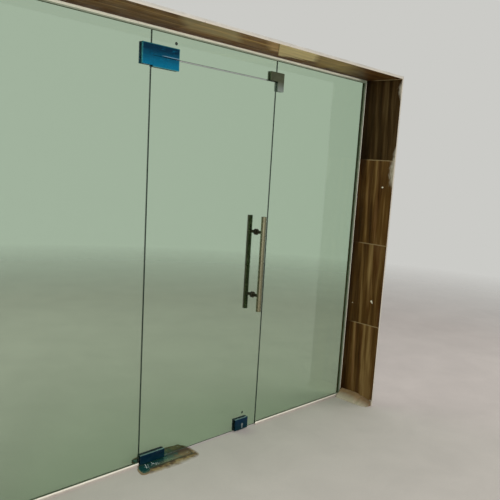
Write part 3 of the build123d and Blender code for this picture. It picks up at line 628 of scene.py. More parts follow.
@dataclass(frozen=True)
class MetalFinish(Finish):
    """Metal with brushing lines, smudges and building dust."""

    color: Tone
    run: Run = Run.UP
    roughness: float = 0.3
    dust: float = 0.15
    fineness: float = 900.0
    metallic: float = 1.0

    def with_painted_light(self, w: Wiring, tone: Socket) -> Socket:
        """The metal's colour, to which a kind may add painted light."""
        return tone

    def wire(self, w: Wiring) -> dict[str, object]:
        """Wire the metal.

        Args:
            w: the material's wiring.

        Returns:
            What the shader's inputs take, by name.
        """
        lines = w.use(BRUSHED_LINES, Vector=w.mapped(turn=self.run.value), Fineness=self.fineness)
        tone = w.blend(w.span(lines["Smudge"], 0.35, 0.7), self.color, self.color.shaded(0.9))
        tone = w.blend(w.span(lines["Height"], *NOISE_CORE, 0.0, 0.5), tone, self.color.shaded(0.82))
        dusty = w.use(SURFACE_DUST, Base=self.with_painted_light(w, tone), Amount=self.dust, Scale=16.0)
        rough = w.span(lines["Smudge"], *NOISE_CORE, self.roughness, self.roughness + 0.12)
        return {"Base Color": dusty["Color"], "Roughness": w.most(rough, dusty["Mask"]),
                "Metallic": w.mul(w.sub(1.0, dusty["Mask"]), self.metallic),
                "Normal": w.bump(lines["Height"], 0.25, 0.05 * MM)}


@dataclass(frozen=True)
class HighlitMetalFinish(MetalFinish):
    """Metal with a painted highlight: a pale band beyond a span of distances along one axis, up to a
    place along X.
    """

    lit: Tone = GREY
    lit_axis: int = 0
    lit_span: Pair = (0.0, 1.0)
    lit_until: float = 9.0

    def with_painted_light(self, w: Wiring, tone: Socket) -> Socket:
        """Lay the painted highlight, a pale band, over the metal's colour.

        Args:
            w: the material's wiring.
            tone: the metal's own colour.

        Returns:
            The new colour.
        """
        stretch = tuple(0.3 if axis == 2 - self.lit_axis else 1.0 for axis in range(3))
        waver = w.sway(w.noise(12.0, 3.0, 0.6, Vector=w.mapped(scale=stretch)), 1.5 * MM)
        band = w.span(w.add(w.away(w.xyz[self.lit_axis]), waver), *self.lit_span)
        reach = w.span(w.xyz[0], self.lit_until + 50 * MM, self.lit_until)
        return w.blend(w.mul(band, reach), tone, self.lit)


@dataclass(frozen=True)
class FilmFinish(Finish):
    """Blue protective film stuck on satin steel, with a painted reflection that darkens it towards the
    top, much darker side walls, and a painted highlight along its edges.

    The fold is a painted highlight with a painted shadow under it, which starts at a place along X and
    lies at a height.
    """

    deep: Tone
    bright: Tone
    heights: Pair
    plate: Plate
    rim: Tone = Tone(70, 170, 180)
    highlight_share: float = 0.7
    highlight_width: float = 4.6 * MM
    crown: bool = False
    fold: Pair | None = None
    dust: float = 0.01

    def fold_light(self, w: Wiring, tone: Socket) -> Socket:
        """Lay the fold's painted highlight and the painted shadow under it over a colour.

        Args:
            w: the material's wiring.
            tone: the colour.

        Returns:
            The new colour.
        """
        start, height = self.fold
        there = w.span(w.xyz[0], start, start + 25 * MM)
        for level, half, share, shade in ((height, 2.2 * MM, 0.85, Tone(150, 190, 214)),
                                          (height - 5 * MM, 2.4 * MM, 0.8, self.deep.shaded(0.45))):
            near = w.span(w.away(w.xyz[2], level), half, 0.5 * half, 0.0, share)
            tone = w.blend(w.mul(near, there), tone, shade)
        return tone

    def highlight_mask(self, w: Wiring) -> Socket:
        """Mask of the painted highlight, a narrow band along the plate's edges, or with `crown` along the
        top one alone.

        Args:
            w: the material's wiring.

        Returns:
            The mask.
        """
        plate = self.plate
        if self.crown:
            inside = w.sub(plate.top, w.xyz[2])
        else:
            ends = ((w.xyz[0], plate.left, plate.right), (w.xyz[2], plate.foot, plate.top))
            inside = w.least(*(w.sub(0.5 * (high - low), w.away(place, 0.5 * (low + high)))
                               for place, low, high in ends))
        return w.mul(w.span(inside, self.highlight_width, 0.5 * self.highlight_width, 0.0, self.highlight_share),
                     w.below(w.xyz[1], -0.5 * COVER_FACE), w.span(inside, -0.5 * MM, 0.4 * MM, 0.15, 1.0))

    def wire(self, w: Wiring) -> dict[str, object]:
        """Wire the film over its steel.

        Args:
            w: the material's wiring.

        Returns:
            What the shader's inputs take, by name.
        """
        low, high = self.heights
        creases = w.noise(34.0, 3.0, 0.55, 0.9, Vector=w.mapped(turn=(0, 12, 0), scale=(0.35, 1, 1.6)))
        level = w.add(w.xyz[2], w.sway(creases, 10 * MM))
        # Painted reflection: deep at the top, bright at the foot.
        tone = w.blend(w.span(level, high, low), self.deep, self.bright)
        # Painted highlights on the creases.
        tone = w.blend(w.span(creases, 0.6, 0.74, 0.0, 0.35), tone, self.bright.shaded(1.2))
        # The side walls, off the flat face, go much darker.
        off_face = w.span(w.away(w.xyz[1]), 0.88 * COVER_FACE, 0.99 * COVER_FACE, 0.7, 0.0, "SMOOTHSTEP")
        tone = w.blend(off_face, tone, self.deep.shaded(0.4))
        # Painted highlight along the edges.
        tone = w.blend(self.highlight_mask(w), tone, self.rim)
        if self.fold:
            tone = self.fold_light(w, tone)
        dusty = w.use(SURFACE_DUST, Base=tone, Amount=self.dust, Scale=22.0)
        lines = w.use(BRUSHED_LINES, Vector=w.mapped(turn=Run.ALONG.value), Fineness=700.0)
        return {"Base Color": dusty["Color"],
                "Roughness": w.span(lines["Smudge"], *NOISE_CORE, 0.24, 0.36),
                "Metallic": w.sub(0.9, dusty["Mask"]),
                "Normal": w.bump(lines["Height"], 0.12, 0.04 * MM, Normal=w.bump(creases, 0.3, 0.8 * MM)),
                "Coat Weight": 0.06, "Coat Roughness": 0.12}


@dataclass(frozen=True)
class MuddyPlateFinish(Finish):
    """Dark plate of the floor spring: wet and green at one end, caked with mud from a span along X on,
    with painted shade along the door and a painted reflection near its front edge.
    """

    wet: Tone
    mud: Tone
    dark_and_shaded_mud: Tone
    reflection_tone: Tone
    mud_span: Pair

    def wire(self, w: Wiring) -> dict[str, object]:
        """Wire the wet metal and the mud on it.

        Args:
            w: the material's wiring.

        Returns:
            What the shader's inputs take, by name.
        """
        across, depth, _ = w.xyz
        wander, fine = w.noise(26.0, 4.0, 0.62, 0.6), w.noise(240.0, 3.0, 0.7)
        thin = w.mul(w.span(fine, 0.45, 0.7), w.span(wander, 0.45, 0.6, 0.1, 0.7))
        muddy = w.most(w.span(w.add(across, w.sway(wander, 60 * MM)), *self.mud_span), thin)
        # Painted shade: the mud goes to its darkest tone along the door.
        clear_of_door_shade = w.sub(1.0, w.span(w.away(depth), 52 * MM, 22 * MM))
        mud = w.blend(w.mul(w.span(wander, 0.35, 0.6), clear_of_door_shade), self.dark_and_shaded_mud, self.mud)
        base = w.blend(w.span(fine, *NOISE_CORE), self.wet, self.wet.shaded(1.5))
        # Painted reflection: a pale band near the plate's front edge.
        drift = w.add(depth, w.sway(wander, 16 * MM))
        painted_reflection = w.mul(w.span(drift, -34 * MM, -58 * MM, 0.0, 0.75), w.span(across, -0.43, -0.34))
        return {"Base Color": w.blend(muddy, w.blend(painted_reflection, base, self.reflection_tone), mud),
                "Roughness": w.span(muddy, 0.0, 1.0, 0.16, 0.8),
                "Metallic": w.span(muddy, 0.0, 1.0, 0.55, 0.0),
                "Normal": w.bump(fine, 0.35, 0.4 * MM), "Specular IOR Level": 0.4}


@dataclass(frozen=True)
class GlassFinish(Finish):
    """Clear toughened glass, green through its thickness, with painted shade on its ground edges and
    faint smears.
    """

    absorbed: Place
    density: float
    edge: Tone = Tone(14, 34, 24)

    def wire(self, w: Wiring) -> dict[str, object]:
        """What the clear glass takes, by name."""
        smear = w.noise(5.0, 5.0, 0.65, 0.5, Vector=w.mapped(scale=(1, 1, 0.5)))
        return {"Base Color": Tone(255, 255, 255), "Roughness": w.span(smear, 0.52, 0.78, 0.0, 0.035),
                "Transmission Weight": 1.0, "IOR": 1.5}

    def results(self, w: Wiring, shader: Socket) -> dict[str, Socket]:
        """Let soft light and shadows pass, paint shade on the ground edges as a dark green and tint what
        goes through.

        Args:
            w: the material's wiring.
            shader: the clear glass.

        Returns:
            What the material's output takes, by name.
        """
        path = w.node("LightPath").outputs
        clear = w.node("BsdfTransparent", {0: Tone(250, 252, 250)}).outputs[0]
        pane = w.overlay(w.most(path["Is Shadow Ray"], path["Is Diffuse Ray"]), shader, clear)
        # Painted shade: the ground edges get a dark green colour.
        ground = w.blend(w.noise(900.0), self.edge, self.edge.shaded(1.35))
        rim = w.node("BsdfPrincipled", {"Base Color": ground, "Roughness": 0.45,
                                        "Specular IOR Level": 0.12}).outputs[0]
        narrow = w.below(w.away(w.axes(w.node("TexCoord").outputs["Normal"])[1]), 0.9)
        tint = w.node("VolumeAbsorption", {"Color": (*self.absorbed, 1.0), "Density": self.density})
        return {"Surface": w.overlay(w.mul(narrow, 0.85), pane, rim), "Volume": tint.outputs[0]}


@dataclass(frozen=True)
class MouldedFinish(Finish):
    """Rubber or moulded plastic with a faint texture and dust."""

    color: Tone
    roughness: float = 0.6
    dust: float = 0.2

    def wire(self, w: Wiring) -> dict[str, object]:
        """Wire the moulded surface.

        Args:
            w: the material's wiring.

        Returns:
            What the shader's inputs take, by name.
        """
        fine = w.noise(380.0, 3.0, 0.6)
        tone = w.blend(fine, self.color.shaded(0.88), self.color.shaded(1.1))
        dusty = w.use(SURFACE_DUST, Base=tone, Amount=self.dust, Scale=13.0)
        return {"Base Color": dusty["Color"],
                "Roughness": w.span(fine, 0.2, 0.8, self.roughness - 0.08, self.roughness + 0.1),
                "Normal": w.bump(fine, 0.3, 0.1 * MM)}


@dataclass(frozen=True)
class FloorFinish(Finish):
    """Pale dusty floor that fades away over a span of distances from the object."""

    tone: Tone
    fade: Pair

    def wire(self, w: Wiring) -> dict[str, object]:
        """Wire the floor.

        Args:
            w: the material's wiring.

        Returns:
            What the shader's inputs take, by name.
        """
        patches, grit = w.noise(2.3, 5.0, 0.62, 0.4), w.noise(90.0, 4.0, 0.7)
        tone = w.blend(w.span(patches, 0.35, 0.7), self.tone, self.tone.shaded(0.955))
        tone = w.blend(w.span(grit, *NOISE_CORE, 0.0, 0.3), tone, self.tone.shaded(0.92))
        return {"Base Color": tone, "Roughness": 0.8, "Normal": w.bump(grit, 0.2, 0.3 * MM),
                "Specular IOR Level": 0.2}

    def results(self, w: Wiring, shader: Socket) -> dict[str, Socket]:
        """Fade the floor into the backdrop.

        Args:
            w: the material's wiring.
            shader: the floor's shader.

        Returns:
            What the material's output takes, by name.
        """
        far = w.node("VectorMath", {0: w.coords}, operation="LENGTH").outputs["Value"]
        clear = w.node("BsdfTransparent").outputs[0]
        return {"Surface": w.overlay(w.span(far, *self.fade), shader, clear)}


# Modelling by operators


def pick(*pieces: bpy.types.Object) -> None:
    """Select some pieces and nothing else, with the first one active."""
    bpy.ops.object.select_all(action="DESELECT")
    for piece in pieces:
        piece.select_set(True)
    bpy.context.view_layer.objects.active = pieces[0]


def settle(piece: bpy.types.Object) -> None:
    """Put a piece's place, turn and size into its mesh."""
    pick(piece)
    bpy.ops.object.transform_apply(location=True, rotation=True, scale=True)


def start_piece(add: Callable[..., object], scale: Place, **settings: object) -> bpy.types.Object:
    """Add a primitive and put its place, turn and size into its mesh.

    Args:
        add: the operator that adds it.
        scale: its size along its own axes.
        settings: what the operator is told.

    Returns:
        The new object.
    """
    bpy.ops.object.select_all(action="DESELECT")
    add(**settings)
    piece = bpy.context.object
    piece.scale = scale
    settle(piece)
    return piece


@contextmanager
def editing(piece: bpy.types.Object) -> Iterator[None]:
    """Edit mode on one piece, and back.

    Args:
        piece: the mesh object.

    Yields:
        Nothing, while the piece is in edit mode.
    """
    pick(piece)
    bpy.ops.object.mode_set(mode="EDIT")
    try:
        yield
    finally:
        bpy.ops.object.mode_set(mode="OBJECT")


def select_vertices(piece: bpy.types.Object, test: Callable[[Vector], bool]) -> None:
    """Select the vertices of a piece that pass a test. Called in edit mode, as all down to `cut_off`.

    Args:
        piece: the mesh object.
        test: takes a vertex's place.
    """
    bpy.ops.mesh.select_mode(type="VERT")
    bpy.ops.mesh.select_all(action="DESELECT")
    bpy.ops.object.mode_set(mode="OBJECT")
    for vertex in piece.data.vertices:
        vertex.select = bool(test(vertex.co))
    bpy.ops.object.mode_set(mode="EDIT")


def pull_near(piece: bpy.types.Object, point: Vector, move: Place, reach: float) -> None:
    """Pull the vertices nearest to a point, and take along those around them.

    Args:
        piece: the mesh object.
        point: the point.
        move: how far they are pulled.
        reach: radius in metres of what goes along.
    """
    nearest = min((vertex.co - point).length for vertex in piece.data.vertices)
    select_vertices(piece, lambda place: (place - point).length < nearest + 0.1 * MM)
    bpy.ops.transform.translate(value=move, use_proportional_edit=True,
                                proportional_edit_falloff="SMOOTH", proportional_size=reach)


def shake(offset: float, seed: int) -> None:
    """Move all vertices at random."""
    bpy.ops.mesh.select_all(action="SELECT")
    bpy.ops.transform.vertex_random(offset=offset, seed=seed)


def raise_dome(rise: Place, steps: Sequence[Pair]) -> None:
    """Extrude the selected faces and inset them step by step.

    Args:
        rise: the extrusion.
        steps: width and rise of each step above it, in metres.
    """
    bpy.ops.mesh.extrude_region_move(TRANSFORM_OT_translate={"value": rise})
    for width, depth in steps:
        bpy.ops.mesh.inset(thickness=width, depth=depth)


def turn_outward() -> None:
    """Turn the normals of all faces outward."""
    bpy.ops.mesh.select_all(action="SELECT")
    bpy.ops.mesh.normals_make_consistent(inside=False)


def cut_off(point: Place, normal: Place, outer: bool) -> None:
    """Cut a piece at a plane and close the cut.

    Args:
        point: a point of the plane.
        normal: the direction across it.
        outer: whether the side goes that the direction points to, or else the other one.
    """
    bpy.ops.mesh.select_all(action="SELECT")
    bpy.ops.mesh.bisect(plane_co=point, plane_no=normal, use_fill=True, clear_inner=not outer,
                        clear_outer=outer)


def apply_modifier(piece: bpy.types.Object, kind: str, **settings: object) -> None:
    """Add a modifier, set it and apply it.

    Args:
        piece: the object.
        kind: the modifier's type.
        settings: its properties by name.
    """
    pick(piece)
    made = piece.modifiers.new(kind.lower(), kind)
    for name, value in settings.items():
        setattr(made, name, value)
    bpy.ops.object.modifier_apply(modifier=made.name)


def roughen(piece: bpy.types.Object, size: float, layers: int, **shift: object) -> None:
    """Refine a piece once and shift its surface by a cloudy pattern.

    Args:
        piece: the mesh object.
        size: the pattern's size in metres.
        layers: number of its finer layers.
        shift: what the displacement is told.
    """
    clouds = bpy.data.textures.new("clouds", "CLOUDS")
    clouds.noise_scale = size
    clouds.noise_depth = layers
    apply_modifier(piece, "SUBSURF", levels=1, render_levels=1)
    apply_modifier(piece, "DISPLACE", texture=clouds, **shift)


def make_lump(place: Place, scale: Place, offset: float, seed: int, normal: Place, outer: bool,
              turn: float = 0.0) -> bpy.types.Object:
    """Model a lump of plaster, cut flat through its middle.

    Args:
        place: its middle.
        scale: its half widths in metres.
        offset: how far its surface is moved at random, in metres.
        seed: seed of that move.
        normal: the direction across the cut.
        outer: whether the side goes that the direction points to.
        turn: its turn about Z in radians.

    Returns:
        The lump.
    """
    lump = start_piece(bpy.ops.mesh.primitive_ico_sphere_add, scale, subdivisions=3, radius=1.0,
                       location=place, rotation=(0.0, 0.0, turn))
    with editing(lump):
        shake(offset, seed)
        bpy.ops.mesh.vertices_smooth(factor=0.5, repeat=1)
        cut_off(place, normal, outer)
    return lump


def sit_on(piece: bpy.types.Object, axis: int, level: float, below: bool) -> None:
    """Shift a piece along one axis until it touches a level.

    Args:
        piece: the mesh object.
        axis: 0, 1 or 2.
        level: the surface's place on that axis, in metres.
        below: whether the piece lies on the lower side of the level.
    """
    places = [vertex.co[axis] for vertex in piece.data.vertices]
    piece.location[axis] += level - (max(places) if below else min(places))
    settle(piece)


def join(pieces: Sequence[bpy.types.Object]) -> bpy.types.Object:
    """Join several meshes into the first.

    Args:
        pieces: the mesh objects.

    Returns:
        The joined object.
    """
    pick(*pieces)
    bpy.ops.object.join()
    return pieces[0]


def keep(piece: bpy.types.Object, name: str, body: str, material: bpy.types.Material,
         smooth: float = 50.0) -> None:
    """Finish a new piece: name, material, body and slot.

    Args:
        piece: the mesh object.
        name: its plain name.
        body: the CAD body that it rides on.
        material: its finish.
        smooth: angle in degrees up to which edges are shaded smooth.
    """
    settle(piece)
    bpy.ops.object.shade_smooth_by_angle(angle=math.radians(smooth))
    piece.name = name
    piece.data.name = name
    piece.data.materials.clear()
    piece.data.materials.append(material)
    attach(piece, body)
    log.info("piece %s: %d faces on %s", name, len(piece.data.polygons), body)


def dress(finish: Finish, *names: str) -> bpy.types.Material:
    """Build a finish and give it to CAD nodes.

    Args:
        finish: the finish.
        names: the nodes.

    Returns:
        The material.
    """
    material = finish.build()
    for name in names:
        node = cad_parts[name]
        if not node.material_slots:
            node.data.materials.append(material)
        for slot in node.material_slots:
            slot.material = material
        log.info("node %s: %s", name, material.name)
    return material


# Sub-assemblies


@dataclass
class TiledReveal:
    """Tiles, grout and mortar bed of the opening."""

    # Tone factors tile by tile are painted light and shade: the top jamb course darker under the head,
    # the head lighter in the middle and darker towards the right-hand corner.
    jamb_light_and_shade: tuple[float, ...] = (1.03, 1.02, 1.06, 0.66)
    head_light_and_shade: tuple[float, ...] = (0.94, 0.95, 1.10, 1.04, 0.89)
    jamb_tones: tuple[Tone, ...] = (Tone(39, 21, 4), Tone(82, 57, 25), Tone(136, 110, 68))
    head_tones: tuple[Tone, ...] = (Tone(92, 56, 24), Tone(144, 106, 58), Tone(224, 186, 114))
    left_decor: float = 3.7
    right_decor: float = 0.0
    head_decor: float = 0.3
    jamb_step: Pair = (0.61, 0.37)
    head_step: Pair = (0.43, 1.9)
    jamb_veins: tuple[Streak, ...] = (
        Streak(0.112, 24 * MM, 40 * MM, 0.20), Streak(0.186, 32 * MM, 44 * MM, 0.24),
        Streak(0.205, 13 * MM, 44 * MM, 0.10), Streak(0.252, 40 * MM, 30 * MM, 0.14))
    vein_shifts: tuple[float, ...] = (0.0, 6 * MM, -8 * MM, 10 * MM)
    # A darker band along the back, towards the glass.
    jamb_back: Streak = Streak(0.02, 70 * MM, 10 * MM, -0.24)
    # Broad lighter band near the front of the bottom jamb course: painted light.
    foot_painted_light: Streak = Streak(0.235, 80 * MM, 30 * MM, 0.22)
    # Head veins: the broad light one near the front is painted light, the dark ones near the glass are
    # painted shade.
    head_veins_and_shading: tuple[Streak, ...] = (
        Streak(0.225, 40 * MM, 0.0, 0.12), Streak(0.15, 22 * MM, 16 * MM, 0.07),
        Streak(0.03, 60 * MM, 0.0, -0.24), Streak(0.085, 26 * MM, -20 * MM, -0.13))
    smears: tuple[tuple[Smear, ...], ...] = (
        (Smear(-0.04, 0.05, 40 * MM),), (), (Smear(1.58, 1.90, 40 * MM),),
        (Smear(2.22, 2.36, 26 * MM), Smear(1.70, 1.90, 20 * MM)))
    dusts: tuple[float, ...] = (0.06, 0.06, 0.06, 0.01)
    # Painted light: pale golden sheen on the soffit's front part; the last patch is painted shade towards
    # the right-hand corner.
    glows: tuple[PaintedLight, ...] = (
        PaintedLight(-0.24, 0.19, 0.115, Tone(214, 196, 146), 0.50, ramp=60 * MM),
        PaintedLight(0.35, 0.4575, 0.130, Tone(240, 196, 140), 0.60, ramp=60 * MM, fade=4 * MM),
        PaintedLight(0.4575, 0.82, 0.085, Tone(255, 228, 168), 1.0, slope=0.36),
        PaintedLight(0.78, 1.26, 0.060, Tone(206, 180, 112), 0.46, ramp=60 * MM, fade=180 * MM),
        PaintedLight(1.08, 2.2, -0.100, Tone(74, 46, 22), 0.50, ramp=330 * MM))

    def streaks(self, number: int) -> tuple[Streak, ...]:
        """Light veins of one jamb tile, with a darker band towards the glass and, on the bottom course, a
        band of painted light.

        Args:
            number: the course, from the floor.

        Returns:
            The veins.
        """
        shift = self.vein_shifts[number - 1]
        veins = tuple(replace(vein, centre=vein.centre + shift) for vein in self.jamb_veins)
        return (*veins, self.jamb_back, self.foot_painted_light) if number == 1 else (*veins, self.jamb_back)

    def dress_tile(self, name: str, tones: tuple[Tone, ...], shade: float, lay: Lay,
                   **settings: object) -> None:
        """Give one tile its own cut of the decor.

        Args:
            name: the tile.
            tones: dark, middle and light tone of the decor.
            shade: factor of the tones, which paints light and shade tile by tile.
            lay: the way it is laid.
            settings: what else its finish is told.
        """
        low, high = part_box(name)
        axis = lay.value[0]
        shaded = tuple(tone.shaded(shade) for tone in tones)
        length = high[axis] - low[axis]
        dress(TileFinish(name + "_glaze", shaded, lay, low[axis], length, **settings), name)

    def build(self) -> None:
        """Dress the whole reveal."""
        for side, offset in (("left", self.left_decor), ("right", self.right_decor)):
            for number, shade in enumerate(self.jamb_light_and_shade, 1):
                self.dress_tile(f"{side}_jamb_tile_{number}", self.jamb_tones, shade, Lay.UPRIGHT,
                                shift=(offset, *(step * number for step in self.jamb_step)),
                                streaks=self.streaks(number), smears=self.smears[number - 1],
                                haze=0.3, dust=self.dusts[number - 1])
        for number, shade in enumerate(self.head_light_and_shade, 1):
            self.dress_tile(f"head_tile_{number}", self.head_tones, shade, Lay.LENGTHWISE,
                            shift=(self.head_decor, *(step * number for step in self.head_step)),
                            streaks=self.head_veins_and_shading, glows=self.glows, contrast=1.1, shine=0.02)
        dress(CementFinish("tile_grout_sand", Tone(136, 116, 82), Tone(176, 154, 116),
                           inner=Tone(58, 38, 18), inner_span=(0.05, 0.09)), "tile_grout")
        dress(CementFinish("mortar_grey", Tone(176, 172, 162), Tone(204, 200, 190)), "mortar_bed")


@dataclass
class Glazing:
    """Channels, gaskets, blocks, screws and panes, with two dots of sealant pressed on the glass."""

    absorbed: Place = (0.12, 0.50, 0.10)
    density: float = 48.0
    dots: tuple[tuple[str, str, float, float, float], ...] = (
        ("overpanel_dot", "shopfront", -0.3055, 2.299, 8.5 * MM),
        ("door_dot", "door", 0.3325, 0.118, 8.0 * MM))

    def dress_parts(self) -> None:
        """Give the channels, what holds them and the panes their finishes."""
        # Each channel's pale band is a painted highlight; the head channel's band stops at 1.27 m,
        # painted shade from there to the right-hand jamb.
        dress(HighlitMetalFinish("channel_head", Tone(170, 182, 156), Run.ALONG, 0.45, 0.1, 160.0, 0.0,
                               Tone(250, 250, 226), 2, (2.3480, 2.3500), 1.27), "head_channel")
        dress(HighlitMetalFinish("channel_floor", Tone(198, 188, 174), Run.ALONG, 0.45, 0.3, 160.0, 0.0,
                               Tone(244, 238, 222), 2, (9 * MM, 11 * MM)),
              "left_floor_channel", "right_floor_channel")
        dress(HighlitMetalFinish("channel_upright", Tone(150, 160, 134), Run.UP, 0.4, 0.25, 500.0, 0.1,
                               Tone(250, 248, 228), 0, (1.3755, 1.3775)), "left_channel", "right_channel")
        dress(MetalFinish("zinc_screw", Tone(170, 170, 166), Run.UP, 0.35, 0.1),
              "channel_screws", "fixed_screws", "door_screws")
        dress(MouldedFinish("setting_block_plastic", Tone(48, 48, 50)), "setting_blocks")
        dress(MouldedFinish("gasket_grey", Tone(92, 100, 80), 0.62, 0.12), "glazing_gaskets")
        dress(MouldedFinish("gasket_rubber", Tone(30, 34, 31), 0.62, 0.12),
              "fixed_patch_gaskets", "door_gaskets")
        dress(GlassFinish("pane_glass", self.absorbed, self.density),
              "left_panel_glass", "right_panel_glass", "overpanel_glass", "door_glass")

    def press_dot(self, name: str, body: str, across: float, height: float, radius: float,
                  material: bpy.types.Material) -> None:
        """Press one round dot of dark sealant on the front face of a pane.

        Args:
            name: the piece's name.
            body: the body that carries the pane.
            across: place along X in metres.
            height: place along Z in metres.
            radius: the dot's radius in metres.
            material: its finish.
        """
        dot = start_piece(bpy.ops.mesh.primitive_circle_add, (1.0, 1.0, 1.0), vertices=40, radius=radius,
                          fill_type="NGON", location=(across, -GLASS_FACE, height),
                          rotation=(math.radians(90.0), 0.0, 0.0))
        with editing(dot):
            bpy.ops.mesh.select_all(action="SELECT")
            raise_dome((0, -0.7 * MM, 0), ((0.16 * radius, 0.5 * MM), (0.24 * radius, 0.3 * MM),
                                           (0.3 * radius, 0.1 * MM)))
            shake(0.25 * MM, 7)
            turn_outward()
        sit_on(dot, 1, -GLASS_FACE, below=True)
        keep(dot, name, body, material, 40.0)

    def build(self) -> None:
        """Dress the whole glazing and add its marks."""
        self.dress_parts()
        sealant = MouldedFinish("sealant_dark", Tone(38, 48, 42), 0.5, 0.1).build()
        for dot in self.dots:
            self.press_dot(*dot, sealant)


class Side(Enum):
    """Side of the glass, as its direction along Y."""

    OUTER = -1.0
    INNER = 1.0


@dataclass(frozen=True)
class FilmSheet:
    """Loose protective film over the flat face of a cover.

    Each lift is a place along X and Z near which the film stands off, and how far. The creases'
    size is a factor.
    """

    name: str
    body: str
    plate: Plate
    lifts: tuple[Place, ...]
    creases: float = 1.0
    margin: float = 1.2 * MM
    cell: float = 5 * MM
    gap: float = 0.12 * MM
    thickness: float = 0.08 * MM

    def build(self, side: Side, material: bpy.types.Material) -> None:
        """Model the sheet.

        Args:
            side: the side of the glass that it lies on.
            material: the film's finish.
        """
        out = side.value
        face = out * COVER_FACE
        plate = self.plate
        width = plate.right - plate.left - 2 * self.margin
        tall = plate.top - plate.foot - 2 * self.margin
        sheet = start_piece(bpy.ops.mesh.primitive_grid_add, (width, tall, 1.0), size=1.0,
                            x_subdivisions=max(4, round(width / self.cell)),
                            y_subdivisions=max(4, round(tall / self.cell)),
                            location=(0.5 * (plate.left + plate.right), face + out * self.gap,
                                      0.5 * (plate.foot + plate.top)),
                            rotation=(math.radians(-90.0 * out), 0.0, 0.0))
        for across, height, rise in self.lifts:
            with editing(sheet):
                pull_near(sheet, Vector((across, face, height)), (0, out * rise, 0), 14 * MM)
        roughen(sheet, 16 * MM * self.creases, 2, strength=out * 0.5 * MM, mid_level=0.35, direction="Y")
        apply_modifier(sheet, "SOLIDIFY", thickness=self.thickness, offset=0.0)
        keep(sheet, f"{self.name}_{side.name.lower()}", self.body, material)


@dataclass
class PatchFittings:
    """Patch fittings at the head and foot of the door, and the corner patch."""

    upper_plate: Plate = Plate(-0.5195, -0.290, 2.1615, 2.273)
    lower_plate: Plate = Plate(-0.455, -0.290, 0.007, 0.061)
    parting: float = 2.2175
    door_edge: float = -0.455

    def dress_covers(self) -> tuple[bpy.types.Material, bpy.types.Material]:
        """Give the covers their film, or bare steel.

        Returns:
            The film finishes of the upper and the lower fitting.
        """
        # The films' deep-to-bright tones are a painted reflection and their rim tones painted highlights.
        upper = dress(FilmFinish("film_upper", Tone(0, 56, 84), Tone(0, 124, 164), (2.178, 2.246),
                                 self.upper_plate, fold=(-0.405, 2.2222)),
                      "pivot_patch_front_cover", "pivot_patch_rear_cover", "top_patch_front_cover",
                      "top_patch_rear_cover")
        lower = dress(FilmFinish("film_lower", Tone(8, 62, 98), Tone(8, 76, 98), (0.0, 0.05),
                                 self.lower_plate, Tone(150, 192, 188), 0.8, 2.6 * MM, crown=True,
                                 dust=0.05),
                      "bottom_patch_front_cover", "bottom_patch_rear_cover")
        # The corner patch's paler lower part is painted light.
        dress(HighlitMetalFinish("corner_satin_steel", Tone(108, 115, 92), Run.UP, 0.34, 0.05,
                               lit=Tone(172, 184, 180), lit_axis=2, lit_span=(2.22, 2.15)),
              "corner_patch_front_cover", "corner_patch_rear_cover")
        return upper, lower

    def dress_insides(self) -> None:
        """Give the clamps and pivots their metals."""
        dress(MetalFinish("clamp_aluminium", Tone(120, 122, 120), Run.UP, 0.45, 0.1),
              "pivot_patch_clamps", "corner_patch_clamps", "top_patch_clamps", "bottom_patch_clamps")
        dress(MetalFinish("ground_steel", Tone(176, 176, 174), Run.UP, 0.22, 0.02),
              "top_pivot_pin", "floor_spring_spindle")
        dress(MouldedFinish("bush_plastic", Tone(226, 222, 210), 0.5, 0.05), "top_pivot_bush")

    def upper_film(self) -> tuple[FilmSheet, ...]:
        """Sheets on one side of the two upper patches.

        Returns:
            The sheets.
        """
        plate, parting, edge = self.upper_plate, self.parting, self.door_edge
        left, right, foot, top = plate.left, plate.right, plate.foot, plate.top
        return (FilmSheet("pivot_film", "shopfront", Plate(left, right, parting - 1.9 * MM, top),
                          ((left, top, 1.2 * MM), (right, top, 2.2 * MM), (right, parting, 1.4 * MM))),
                FilmSheet("pivot_leg_film", "shopfront",
                          Plate(left, edge + 0.5 * MM, foot + 5 * MM, parting),
                          ((left, foot, 1.4 * MM),), 0.7),
                FilmSheet("top_film", "door", Plate(edge, right, foot, parting - 2.0 * MM),
                          ((right, foot, 2.6 * MM), (edge, foot, 1.0 * MM)), 1.3))

    def build(self) -> None:
        """Dress the fittings and lay the loose film on the covers' flat faces."""
        upper, lower = self.dress_covers()
        self.dress_insides()
        plate = self.lower_plate
        bottom = FilmSheet("bottom_film", "door", plate, ((plate.right, plate.top, 2.0 * MM),
                                                          (plate.left, plate.top, 1.2 * MM)), 0.8)
        for sheets, material in ((self.upper_film(), upper), ((bottom,), lower)):
            for side in Side:
                for sheet in sheets:
                    sheet.build(side, material)


